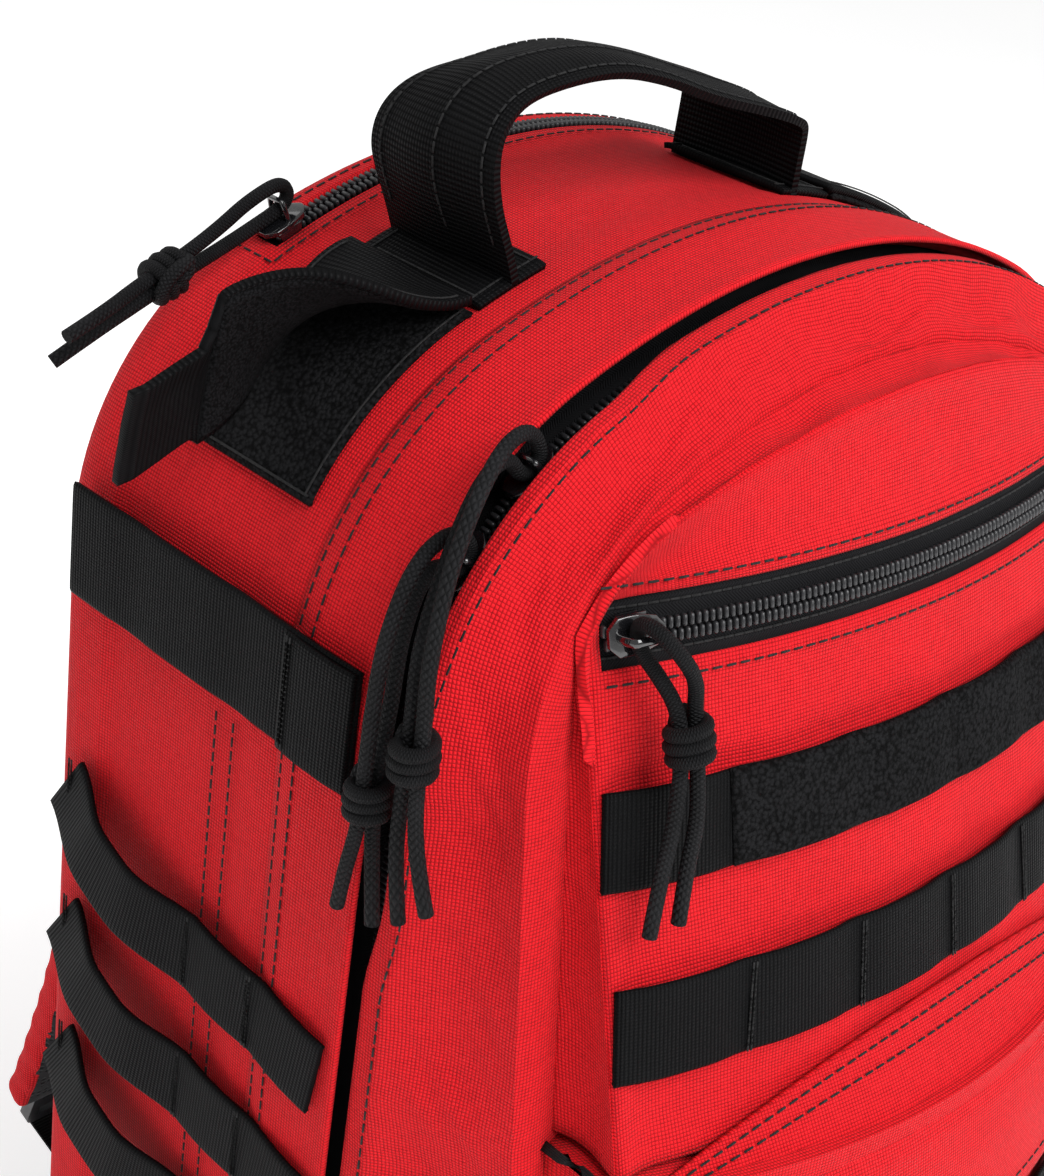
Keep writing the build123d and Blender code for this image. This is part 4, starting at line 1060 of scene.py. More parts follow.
class LidClothMaker(bpy.types.Operator):
    """Lid's gusset, front panel and pockets"""

    bl_idname = "backpack.lid_cloth"
    bl_label = "Lid cloth"

    def execute(self, context):
        fine = stops(3.2 * MM, 3 * MM, DOME_LENGTH - 3 * MM)
        rows = lid_rows()
        skin = cloth("lid_cloth", fine, rows, lid_profile, ("cloth", "lining"), 1.6 * MM, flip=True)
        metric(skin, fine, rows, lid_profile)
        join_bag(skin, "lid", "red_cloth", "lid_gusset")
        spans = stops(4 * MM, 10 * MM, DOME_LENGTH - 10 * MM)
        line = [on_dome(s, ZIP_Y - lid_edge(s) - 6.5 * MM, 1.0 * MM) for s in spans]
        stitch("lid", line, dome_outs(spans))
        self.upper_pocket()
        self.lower_pocket()
        return {"FINISHED"}

    def upper_pocket(self):
        """The pocket's wall, from the lid to its face, and the face itself with the zip's slot."""

        def wall_place(along, part):
            inset = pocket_outline(along)
            x, z, _, _ = dome(along, inset)
            front, rear = upper_y(x, z), ridge_y(z) + 0.5 * MM
            if part <= 1:
                y = rear + (front - rear) * part
                inset += dip(along, part, 5.0 * MM, 20 * MM, 0.9, 11.0) * math.sin(math.pi * part)
                rim = smooth(0.85, 1.0, part)
                return on_dome(along, y + 1.1 * MM * rim, inset + 0.5 * MM * rim - 0.4 * MM)
            inset += (part - 1) * 5 * MM
            x, z, _, _ = dome(along, inset)
            return on_dome(along, upper_y(x, z) + 1.1 * MM + 1.5 * MM * (part - 1), inset)

        around = stops(4 * MM, UPPER_FLOOR, DOME_LENGTH - UPPER_FLOOR)
        rows = stops(0.1, 0, 1) + [1.25, 1.6]
        wall = cloth("upper_pocket_wall", around, rows, wall_place, ("cloth", "cloth"), 1.4 * MM, flip=True)
        metric(wall, around, rows, wall_place)
        join_bag(wall, "lid", "red_cloth", "upper_pocket_gusset")

        def face_place(x, v):
            limit = dome_top(x, UPPER_INSET) - 0.4 * MM
            lip = min(UPPER_LIP, limit - 0.3 * MM)
            if v <= LOWER_LIP:
                z = v
            elif v <= UPPER_LIP:
                z = LOWER_LIP + (lip - LOWER_LIP) * (v - LOWER_LIP) / (UPPER_LIP - LOWER_LIP)
            else:
                z = lip + (limit - lip) * (v - UPPER_LIP) / (CROWN_HEIGHT - UPPER_INSET - UPPER_LIP)
            soft = smooth(UPPER_HALF, UPPER_HALF - 12 * MM, abs(x)) * smooth(limit, limit - 9 * MM, z)
            sag = dip(x, z, 2.4 * MM, 46 * MM, 30 * MM, 13.0)
            sag += dip(x, z + 0.5 * x, 1.6 * MM, 26 * MM, 12 * MM, 15.0)
            if z > UPPER_LIP + 4 * MM:
                soft *= 1.2
            elif z > 375 * MM and z < LOWER_LIP:
                soft *= 0.6
            near_slot = smooth(2 * MM, 9 * MM, min(abs(z - LOWER_LIP), abs(z - UPPER_LIP)))
            return Vector((x, upper_y(x, z) + sag * soft * (0.3 + 0.7 * near_slot) + 0.2 * MM, z))

        def slot(x, v):
            return abs(x) < SLOT_HALF and LOWER_LIP < v < UPPER_LIP

        columns = stops(4 * MM, -UPPER_HALF + 0.5 * MM, -SLOT_HALF, SLOT_HALF, UPPER_HALF - 0.5 * MM)
        rows = stops(3.2 * MM, UPPER_FLOOR, LOWER_LIP, UPPER_LIP, CROWN_HEIGHT - UPPER_INSET)
        layers = ("cloth", "lining")
        face = cloth("upper_pocket_cloth", columns, rows, face_place, layers, 1.6 * MM, hole=slot)
        join_bag(face, "lid", "red_cloth", "upper_pocket_face")
        xs = stops(4 * MM, -SLOT_HALF, SLOT_HALF)
        outs = [upper_out(x) for x in xs]
        for z in (LOWER_LIP - 3.2 * MM, UPPER_LIP + 3.2 * MM):
            stitch("lid", face_line(upper_y, xs, z, -0.1 * MM), outs)

    def lower_pocket(self):
        """The lower pocket as one bag of cloth, and the arched hood over its zip."""
        half, turn = LOWER_HALF, 0.86
        floor, top = LOWER_FLOOR + 5 * MM, LOWER_TOP - 1 * MM
        across = stops(0.028, -1.0, -turn, turn, 1.0)

        def spot(share, z, depth):
            side = abs(share)
            x = half * (math.copysign(1, share) if side > turn else share / turn)
            face, rear = lower_y(x, z), ridge_y(z) + 0.6 * MM
            forward = 1.0 if side <= turn else (1 - side) / (1 - turn)
            if side > turn:
                x -= math.copysign(2.2 * MM * math.sin(math.pi * forward) * 0.5, share)
            return Vector((x, rear + (face - rear) * forward * depth, z))

        def place(share, v):
            if v < 0:
                z = LOWER_FLOOR + 5 * MM * (1 + v) ** 4
                return spot(share, z, min(1.0, (1 + v) ** 0.75))
            if v > 1:
                return spot(share, top, max(0.0, 1 - (v - 1)) ** 0.75)
            z = floor + (top - floor) * v
            point = spot(share, z, 1.0)
            if abs(share) < 0.84:
                edge = smooth(0.84, 0.7, abs(share)) * smooth(0, 0.12, v) * smooth(1, 0.9, v)
                broad = dip(point.x, z, 2.2 * MM, 50 * MM, 34 * MM, 17.0)
                point.y += edge * (broad + dip(point.x, z, 0.9 * MM, 18 * MM, 14 * MM, 19.0))
            return point

        v_low, v_high = ((LOWER_TOP - z * MM - floor) / (top - floor) for z in (38.5, 21.5))
        rows = stops(0.16, -1, 0) + stops(0.018, 0, v_low, v_high, 1)[1:] + stops(0.2, 1, 2)[1:]

        def slot(share, v):
            return abs(share) < turn * SLOT_HALF / half and v_low < v < v_high

        pocket = cloth("lower_pocket_cloth", across, rows, place, ("cloth", "lining"), 1.6 * MM, hole=slot)
        metric(pocket, across, rows, place)
        join_bag(pocket, "lid", "red_cloth", "lower_pocket")

        def hood(x, v):
            """v 0 at the root seam on the upper pocket, 1 at the shoulder, 2 at the hem."""
            arch = 1 - (x / half) ** 2
            arch_top = 262 * MM + 29 * MM * arch
            on_upper = upper_y(min(x, UPPER_HALF) if x > 0 else max(x, -UPPER_HALF), arch_top)
            root = Vector((x, min(on_upper, ridge_y(arch_top)) - 0.8 * MM, arch_top))
            bend = Vector((x, lower_y(x, LOWER_TOP) - 4.6 * MM, 255 * MM + 4 * MM * arch))
            hem = Vector((x, lower_y(x, 216 * MM) - 5.2 * MM, 216 * MM))
            first = root.lerp(bend, min(v, 1.0)) if v < 1 else bend.lerp(hem, v - 1)
            near = smooth(0.55, 1.0, v) * smooth(1.5, 1.0, v)
            blend = root.lerp(bend, 0.5).lerp(bend.lerp(hem, 0.5), smooth(0.55, 1.5, v))
            point = first.lerp(blend, 0.35 * near)
            if v < 1.9:
                point.y += dip(x, point.z, 1.4 * MM, 40 * MM, 24 * MM, 21.0) * math.sin(math.pi * v / 2)
            return point

        columns = stops(4 * MM, -half + 1 * MM, half - 1 * MM)
        rows = stops(0.06, 0, 1, 2)
        flap = cloth("lower_pocket_hood", columns, rows, hood, ("cloth", "cloth"), 1.7 * MM, flip=True)
        metric(flap, columns, rows, hood)
        join_bag(flap, "lid", "red_cloth", "lower_pocket_flap")
        for v in (0.1, 0.26):
            line = [hood(x, v) + Vector((0, -0.5 * MM, 0.3 * MM)) for x in columns[1:-1]]
            stitch("lid", line, [Vector((0, -0.75, 0.66))] * len(line))
        line = [hood(x, 1.86) for x in columns[1:-1]]
        stitch("lid", line, [lower_out(x) for x in columns[1:-1]])


def metric(piece, columns, rows, place):
    """Gives a piece UVs in metres of cloth: across along its middle row, and up along each column."""
    spots = np.array([[place(c, r) for c in columns] for r in rows], float)
    middle = spots[len(rows) // 2]
    wide = np.concatenate([[0.0], np.cumsum(np.linalg.norm(np.diff(middle, axis=0), axis=1))])
    rises = np.cumsum(np.linalg.norm(np.diff(spots, axis=0), axis=2), axis=0)
    tall = np.concatenate([np.zeros((1, len(columns))), rises])
    tall -= tall[len(rows) // 2]
    layer = piece.data.uv_layers.active.data
    flat = np.zeros(len(layer) * 2, np.float32)
    layer.foreach_get("uv", flat)
    flat = flat.reshape(-1, 2)
    i = np.abs(flat[:, :1] - np.array(columns)[None, :]).argmin(1)
    j = np.abs(flat[:, 1:] - np.array(rows)[None, :]).argmin(1)
    flat[:, 0], flat[:, 1] = wide[i], tall[j, i]
    layer.foreach_set("uv", flat.ravel())


class ZipMaker(bpy.types.Operator):
    """Zip tapes and coil teeth"""

    bl_idname = "backpack.zips"
    bl_label = "Zips"

    def execute(self, context):
        self.main_zip()
        self.rear_zip()
        self.pocket_zip("upper", upper_y, upper_out, (UPPER_LIP + LOWER_LIP) / 2)
        self.pocket_zip("lower", lower_y, lower_out, LOWER_TOP - 30 * MM)
        return {"FINISHED"}

    def main_zip(self):
        around = stops(5 * MM, 22 * MM, DOME_LENGTH - 22 * MM)
        rows = stops(2.4 * MM, 0, 9 * MM, 17.5 * MM)

        def half_tape(name, side, body, node):
            def place(along, run):
                reach = min(run, 9 * MM)
                inset = 12 * MM - max(0.0, run - 9 * MM)
                return on_dome(along, ZIP_Y + side * (1.4 * MM + reach), inset)

            piece = cloth(name, around, rows, place, ("tape",), TAPE_WALL, flip=side < 0)
            return join_bag(piece, body, "zip_tape", node)

        half_tape("main_zip_cloth", 1, "main_bag", "main_zip_tape")
        half_tape("lid_zip_cloth", -1, "lid", "lid_zip_tape")
        line = dome_line(around, ZIP_Y, 9 * MM)
        outs = dome_outs(around)
        for name, way, body, node in (
            ("main_coil", 1, "main_bag", "main_zip_chain"),
            ("lid_coil", -1, "lid", "lid_zip_chain"),
        ):
            join_bag(teeth(name, line, outs, (way,)), body, "zip_coil", node)

    def rear_zip(self):
        slot = TOP_SLOT - 1 * MM
        spans = stops(4 * MM, MIDDLE - slot, MIDDLE + slot)
        centre = ZIP_Y + 113 * MM
        rows = stops(2.2 * MM, centre - 6 * MM, centre + 6 * MM)

        def laid(along, y):
            return on_dome(along, y, 1.6 * MM)

        tape = cloth("rear_zip_cloth", spans, rows, laid, ("tape",), TAPE_WALL)
        join_bag(tape, "main_bag", "zip_tape", "rear_zip_tape")
        coils = teeth("rear_coil", dome_line(spans, centre, -0.8 * MM), dome_outs(spans), (-1, 1))
        join_bag(coils, "main_bag", "zip_coil", "rear_zip_chain")

    def pocket_zip(self, name, face, face_out, z):
        xs = stops(4 * MM, -SLOT_HALF - 0.5 * MM, SLOT_HALF + 0.5 * MM)
        rows = stops(2.2 * MM, z - 10.5 * MM, z + 10.5 * MM)
        outs = [face_out(x) for x in xs]

        def laid(x, v):
            tall = min(v, dome_top(x, UPPER_INSET) - 2.5 * MM)
            return Vector((x, face(x, tall) + 1.9 * MM, tall))

        tape = cloth(f"{name}_zip_cloth", xs, rows, laid, ("tape",), TAPE_WALL)
        join_bag(tape, "lid", "zip_tape", f"{name}_zip_tape")
        coils = teeth(f"{name}_coil", face_line(face, xs, z, -0.9 * MM), outs, (-1, 1))
        join_bag(coils, "lid", "zip_coil", f"{name}_zip_chain")
        for lift in (-5.6 * MM, 5.6 * MM):
            stitch("lid", face_line(face, xs, z + lift, 1.8 * MM), outs, 3.0 * MM)


def level_rise(y):
    """How much higher a side row lies at y than at its front end."""
    behind = (y - ZIP_Y) / MM
    share = min(1.0, max(0.0, (behind - 5) / 113))
    return (28 * share**2.1 + 2.5 * math.sin(2 * math.pi * share)) * MM


class WebbingMaker(bpy.types.Operator):
    """Load webbing on the sides and the front, with its tacks"""

    bl_idname = "backpack.webbing"
    bl_label = "Webbing"

    def execute(self, context):
        self.side_rows(-1, "left")
        self.side_rows(1, "right")
        slant = Vector((0, -0.2785, 0.9604))
        for name, top, node in zip(
            ("front_band_1", "front_band_2"), FRONT_ROW_TOPS, ("front_top_webbing", "front_molle_row")
        ):
            self.face_row(name, upper_y, upper_out, top, UPPER_HALF - 1 * MM, 5, slant, node)
        self.loop_row(slant)
        for row, top in enumerate(LOWER_ROW_TOPS):
            nodes = ("lower_molle_rows",) if row == 0 else ()
            name = f"lower_band_{row + 1}"
            self.face_row(name, lower_y, lower_out, top, LOWER_HALF - 2 * MM, 6, UP, *nodes)
        return {"FINISHED"}

    def tacks(self, body, centres, outs, width, across=UP):
        """Two close rows of thread across a band at each centre."""
        for centre, out in zip(centres, outs):
            way = (across - out * across.dot(out)).normalized()
            points = [centre + way * (width * (k / 8 - 0.5) * 0.9) for k in range(9)]
            for shift in (-0.55, 0.55):
                run = way.cross(out).normalized() * shift * MM
                stitch(body, [p + run for p in points], [out] * 9, TACK_PITCH)

    def side_rows(self, side, name):
        """The wide band with its tuck, and three slack rows below it."""
        out = Vector((side, 0, 0))
        x = side * (HALF_WIDTH + 2.4 * MM)

        def line(place, length=118 * MM, step=2.5 * MM):
            return [place(y) for y in stops(step, ZIP_Y + 5 * MM, ZIP_Y + length)[::-side]]

        def laid(points, piece, width, wall, *tacked):
            return band(f"{name}_{piece}", points, [out] * len(points), width, wall, "webbing", *tacked)

        def slack(y, top):
            behind = y - ZIP_Y
            loop = 5.8 * MM * smooth(56 * MM, 86 * MM, behind) * smooth(119 * MM, 98 * MM, behind)
            ripple = abs(math.sin(math.pi * behind / (30 * MM)))
            loop += 1.1 * MM * ripple * smooth(66 * MM, 56 * MM, behind)
            return Vector((x + side * loop, y, top - WEBBING / 2 + level_rise(y)))

        points = line(lambda y: Vector((x, y, SIDE_BAND_Z)))
        wide = laid(points, "top_band", SIDE_BAND_WIDE, BAND_WALL, 0.5 * MM, 44 * MM)
        join_bag(wide, "main_bag", "webbing", f"{name}_top_webbing")
        tuck_z = SIDE_BAND_Z - 0.5 * MM
        points = line(lambda y: Vector((x + side * 1.7 * MM, y, tuck_z)), 30 * MM, 2.0 * MM)
        tuck = laid(points, "top_tuck", SIDE_BAND_WIDE + 0.4 * MM, 1.3 * MM, 0.7 * MM, 25 * MM)
        join_bag(tuck, "main_bag", "webbing")
        centre = Vector((x + side * 3.2 * MM, ZIP_Y + 28 * MM, tuck_z))
        self.tacks("main_bag", [centre], [out], SIDE_BAND_WIDE)
        for row, top in enumerate(SIDE_ROW_TOPS):
            piece = laid(line(lambda y: slack(y, top)), f"row_{row + 1}", WEBBING, BAND_WALL)
            join_bag(piece, "main_bag", "webbing", *((f"{name}_molle_rows",) if row == 0 else ()))
            centres = []
            for y in (ZIP_Y + b * MM for b in (8, 33, 60, 115)):
                centres.append(Vector((x + side * 1.7 * MM, y, top - WEBBING / 2 + level_rise(y))))
            self.tacks("main_bag", centres, [out] * 4, WEBBING)

    def face_row(self, name, face, face_out, top, half, count, across, *nodes):
        """One row over a pocket's face, tacked down at an even pitch."""
        z = top - WEBBING / 2
        xs = stops(2.5 * MM, -half, half)
        points = face_line(face, xs, z, -0.1 * MM)
        outs = [face_out(x) for x in xs]
        piece = band(name, points, outs, WEBBING, BAND_WALL, "webbing", 1.1 * MM, TACK_GAP)
        join_bag(piece, "lid", "webbing", *nodes)
        places = [TACK_GAP * k - half for k in range(1, count + 1)]
        centres = face_line(face, places, z, -1.9 * MM)
        self.tacks("lid", centres, [face_out(x) for x in places], WEBBING, across)

    def loop_row(self, slant):
        """Loop pile over the upper row, up to its plain left end."""
        z = FRONT_ROW_TOPS[0] - WEBBING / 2
        start, end = -79 * MM, UPPER_HALF - 1 * MM

        def place(x, share):
            fold = 1 - abs(math.cos(math.pi * (x + end) / TACK_GAP)) ** 6
            edge = smooth(0.5 * WEBBING, 0.44 * WEBBING, abs(share)) * smooth(start, start + 2 * MM, x)
            lift = 2.7 * MM + 1.0 * MM * fold
            lift += (nap(x, share, 1.7 * MM, 2.0) * 0.35 + 0.3) * MM * edge - 0.9 * MM * (1 - edge)
            tall = z + share * slant.z
            return Vector((x, upper_y(x, tall), tall)) + upper_out(x) * lift

        across = stops(1.1 * MM, -WEBBING / 2, WEBBING / 2)
        piece = cloth("front_pile", stops(1.1 * MM, start, end), across, place, ("pile",), 1.2 * MM)
        join_bag(piece, "lid", "loop_pile", "front_loop_pile")


HANDLE_LINE = (
    (-73, 459), (-76, 466), (-84, 481), (-85.5, 494), (-79, 503.5), (-66, 508.5), (-40, 510.3), (-18, 506),
    (4, 499), (20, 494), (33, 489.5), (36.6, 487.6), (37.4, 484), (37.2, 474), (37, 463),
)


class HandleMaker(bpy.types.Operator):
    """Carry handle, its feet, the loop patches and the hook flaps"""

    bl_idname = "backpack.handle"
    bl_label = "Handle and flaps"

    def execute(self, context):
        self.handle()
        self.feet_and_patches()
        self.flaps()
        return {"FINISHED"}

    def handle(self):
        line = [Vector((x, -1.5, z)) * MM for x, z in HANDLE_LINE]
        guide = round_cord("handle_guide", line, 1 * MM)
        guide.data.bevel_depth = 0
        guide.data.resolution_u = 14
        graph = bpy.context.evaluated_depsgraph_get()
        mesh = bpy.data.meshes.new_from_object(guide.evaluated_get(graph))
        path = [v.co.copy() for v in mesh.vertices]
        bpy.data.objects.remove(guide)
        runs = [0.0]
        for a, b in zip(path, path[1:]):
            runs.append(runs[-1] + (b - a).length)
        total = runs[-1]
        lookup = {r: k for k, r in enumerate(runs)}
        width = HANDLE_WIDE

        def out_at(k):
            ahead = (path[min(k + 1, len(path) - 1)] - path[max(k - 1, 0)]).normalized()
            return Vector((0, -1, 0)).cross(ahead)

        def place(run, share):
            k = lookup[run]
            part = run / total
            fold = smooth(0.12, 0.34, part) * smooth(0.86, 0.64, part)
            half = 2 * share / width
            narrow = 1 - 0.34 * fold
            y = HANDLE_Y + share * narrow - 2.5 * MM * fold
            curl = (3.4 * fold + 0.5) * MM * half * half
            wave = 0.6 * MM * math.sin(3 * half + 9 * part)
            spot = path[k] + out_at(k) * (1.4 * MM - curl + wave)
            spot.y = y
            return spot

        across = stops(1.9 * MM, -width / 2, -width / 2 + 1 * MM, width / 2 - 1 * MM, width / 2)
        piece = cloth("handle_webbing", runs, across, place, ("wide",), 2.4 * MM, apply=True)
        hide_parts("carry_handle")
        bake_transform(piece)
        inner = [r for r in runs if 0.05 < r / total < 0.95]
        for share in (-width / 2 + 4 * MM, width / 2 - 4 * MM, -2.5 * MM):
            points = [place(r, share) for r in inner]
            stitch("handle", points, [out_at(lookup[r]) for r in inner], 3.6 * MM)

    def feet_and_patches(self):
        front, rear = ZIP_Y + 42.5 * MM, ZIP_Y + 87.5 * MM
        for name, low, high in (("left_foot", -84, -62), ("right_foot", 31, 53)):
            spans = stops(2 * MM, dome_at_x(low * MM), dome_at_x(high * MM))
            outs = dome_outs(spans)
            centre = (front + rear) / 2
            piece = band(name, dome_line(spans, centre, -0.3 * MM), outs, HANDLE_WIDE, 1.7 * MM, "wide")
            join_bag(piece, "main_bag", "webbing", *(("handle_feet",) if name == "left_foot" else ()))
            for share in (-19, 19):
                stitch("main_bag", dome_line(spans, centre + share * MM, -2.0 * MM), outs, 3.0 * MM)
            for s in (spans[1], spans[-2]):
                line = [on_dome(s, front + k * (rear - front) / 12, -2.0 * MM) for k in range(1, 12)]
                stitch("main_bag", line, [dome_out(s)] * 11, 3.0 * MM)
        for name, low, high in (("left", -133, -86), ("right", 56, 97)):
            ends = [dome_at_x(x * MM) for x in (low, high)]
            spans = stops(1.3 * MM, *ends)
            middle = (ends[0] + ends[1]) / 2

            def patch(s, y, ends=ends):
                rim = min(s - ends[0], ends[1] - s, y - front, rear - y)
                edge = smooth(2.2 * MM, 3.4 * MM, rim)
                fuzz = nap(s, y, 1.6 * MM, 4.0) * 0.18 * MM * edge
                drop = 0.9 * MM * smooth(0.8 * MM, 0, rim)
                return on_dome(s, y, -(1.75 * MM + 0.2 * MM * (1 - edge) + fuzz - drop))

            rows = stops(1.3 * MM, front, rear)
            piece = cloth(f"{name}_patch_pile", spans, rows, patch, ("pile",), 1.2 * MM)
            join_bag(piece, "main_bag", "loop_pile", f"{name}_loop_patch")
            rim = [(ends[0], front), (ends[1], front), (ends[1], rear), (ends[0], rear), (ends[0], front)]
            for (s0, y0), (s1, y1) in zip(rim, rim[1:]):
                points = []
                for k in range(13):
                    s, y = s0 + (s1 - s0) * k / 12, y0 + (y1 - y0) * k / 12
                    s = min(max(s, ends[0] + 2 * MM), ends[1] - 2 * MM)
                    y = min(max(y, front + 2 * MM), rear - 2 * MM)
                    points.append(on_dome(s, y, -2.1 * MM))
                stitch("main_bag", points, [dome_out(middle)] * 13, FLAP_STITCH)

    def flaps(self):
        self.lifted_flap()
        self.flat_flap()

    def lifted_flap(self):
        """The left flap, held up and twisted so that its hooks face forwards; it ends in a narrow tail."""
        width, long = HANDLE_WIDE, FLAP_LONG
        drop = math.radians(15)

        def ways(run):
            turn = math.radians(-80) * smooth(2 * MM, 66 * MM, run)
            across = Vector((0, math.cos(turn), math.sin(turn)))
            return across, Vector((0, -across.z, across.y))

        def centre(run):
            part = run / long
            x = -87.5 * MM - run * math.cos(drop) * (0.97 if part < 1 else 1)
            z = 457.6 * MM - run * math.sin(drop) + 5 * MM * math.sin(math.pi * part)
            return Vector((x, HANDLE_Y, z))

        def place(run, share):
            side, out = ways(run)
            cup = 2.0 * MM * (2 * share / width) ** 2 * math.sin(math.pi * run / long)
            narrow = smooth(HOOKS_LONG, HOOKS_LONG + 3 * MM, run)
            ease = 1 - 0.08 * smooth(20 * MM, 60 * MM, run) - 0.36 * narrow
            point = centre(run) + side * (share * ease + 5 * MM * narrow) - out * cup
            point += out * dip(run, share, 1.6 * MM, 26 * MM, 20 * MM, 23.0)
            return point

        runs = stops(1.6 * MM, 0, long)
        across = stops(1.5 * MM, -width / 2, width / 2)
        piece = cloth("left_flap_layers", runs, across, place, ("wide",), 2.4 * MM, flip=True)
        join_bag(piece, "left_flap", "webbing", "left_hook_flap")
        start, half = 3 * MM, width / 2 - 1.5 * MM

        def hooked(run, share):
            rim = min(run - start, HOOKS_LONG - run, half - abs(share))
            fuzz = nap(run, share, 1.3 * MM, 31.0) * 0.25 * MM
            lift = 2.5 * MM + (0.9 * MM + fuzz) * smooth(0, 1.2 * MM, rim)
            return place(run, share) - ways(run)[1] * lift

        lengths, widths = stops(1.4 * MM, start, HOOKS_LONG), stops(1.4 * MM, -half, half)
        layer = cloth("left_flap_hooks", lengths, widths, hooked, ("hooks",), 0.7 * MM)
        join_bag(layer, "left_flap", "hook_tape")
        ends = [place(long - 2 * MM, width * (k / 12 - 0.5)) for k in range(1, 12)]
        stitch("left_flap", ends, [ways(long)[1]] * 11, FLAP_STITCH)
        for share in (-width / 2 + 2 * MM, width / 2 - 2 * MM):
            points = [place(r, share) for r in runs[2:-2]]
            stitch("left_flap", points, [ways(r)[1] for r in runs[2:-2]], FLAP_STITCH)

    def flat_flap(self):
        """The right flap, closed on its patch."""
        low, high = dome_at_x(54.5 * MM), dome_at_x(124 * MM)
        spans = stops(2 * MM, low, high)
        front, rear = ZIP_Y + 43 * MM, ZIP_Y + 87 * MM

        def lying(s, y):
            sag = dip(s, y, 0.5 * MM, 30 * MM, 20 * MM, 25.0)
            rim = min(high - s, y - front, rear - y)
            return on_dome(s, y, -(4.4 * MM - sag - 0.9 * MM * smooth(1 * MM, 0, rim)))

        across = stops(2 * MM, front, rear)
        piece = cloth("right_flap_layers", spans, across, lying, ("webbing", "hooks"), 2.1 * MM)
        join_bag(piece, "right_flap", "hook_tape", "right_hook_flap")
        inner = spans[1:-1]
        for y in (front + 2.5 * MM, rear - 2.5 * MM):
            stitch("right_flap", dome_line(inner, y, -4.5 * MM), dome_outs(inner), FLAP_STITCH)


# ------------------------------------------------------------------ pads, straps and what is inside
def copy_node(node, name, finish):
    """A copy of a frame node's mesh as one closed skin."""
    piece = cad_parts[node].copy()
    piece.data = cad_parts[node].data.copy()
    piece.parent = None
    for key in list(piece.keys()):
        del piece[key]
    piece.name = piece.data.name = name
    bpy.context.scene.collection.objects.link(piece)
    work = bmesh.new()
    work.from_mesh(piece.data)
    bmesh.ops.remove_doubles(work, verts=work.verts, dist=0.01 * MM)
    work.to_mesh(piece.data)
    work.free()
    return coat(piece, finish)


def box_uv(piece):
    """UVs in metres, laid on each face from the axis it looks along most."""
    mesh = piece.data
    layer = mesh.uv_layers.active or mesh.uv_layers.new(name="UVMap")
    for polygon in mesh.polygons:
        way = max(range(3), key=lambda i: abs(polygon.normal[i]))
        first, second = [i for i in range(3) if i != way]
        for loop in polygon.loop_indices:
            spot = mesh.vertices[mesh.loops[loop].vertex_index].co
            layer.data[loop].uv = (spot[first], spot[second])


def soften(piece, voxel, swell, cap):
    """Remesh a pad and puff it out as cloth under a little pressure."""
    select_only(piece)
    skin = piece.modifiers.new("skin", "REMESH")
    skin.mode = "VOXEL"
    skin.voxel_size = voxel
    bpy.ops.object.modifier_apply(modifier="skin")
    rest = np.zeros(len(piece.data.vertices) * 3)
    piece.data.vertices.foreach_get("co", rest)
    puff = piece.modifiers.new("puff", "CLOTH")
    puff.settings.use_pressure = True
    puff.settings.uniform_pressure_force = swell
    puff.settings.effector_weights.gravity = 0
    puff.settings.quality = 4
    puff.collision_settings.use_collision = False
    for number in range(1, PUFF_FRAMES + 1):
        bpy.context.scene.frame_set(number)
    posed = piece.evaluated_get(bpy.context.evaluated_depsgraph_get())
    moved = np.zeros(len(rest))
    posed.data.vertices.foreach_get("co", moved)
    rest, moved = rest.reshape(-1, 3), moved.reshape(-1, 3)
    step = moved - rest
    far = np.linalg.norm(step, axis=1, keepdims=True)
    step *= np.minimum(1.0, cap / np.maximum(far, 1e-9))
    piece.modifiers.remove(puff)
    piece.data.vertices.foreach_set("co", (rest + step).ravel())
    bpy.context.scene.frame_set(1)
    select_only(piece)
    even = piece.modifiers.new("even", "SMOOTH")
    even.iterations = 3
    even.factor = 0.5
    bpy.ops.object.modifier_apply(modifier="even")
    finer = piece.modifiers.new("finer", "SUBSURF")
    finer.levels = finer.render_levels = 1
    bpy.ops.object.modifier_apply(modifier="finer")
    smooth_shade(piece, 60)
    return piece


def rounded(node, name, finish, slot, body, edge):
    """A copy of a frame node with its edges taken off."""
    piece = copy_node(node, name, finish)
    select_only(piece)
    soft = piece.modifiers.new("edge", "BEVEL")
    soft.width = edge
    soft.segments = 2
    soft.limit_method = "ANGLE"
    bpy.ops.object.modifier_apply(modifier="edge")
    box_uv(piece)
    smooth_shade(piece)
    return join_bag(piece, body, slot, node)


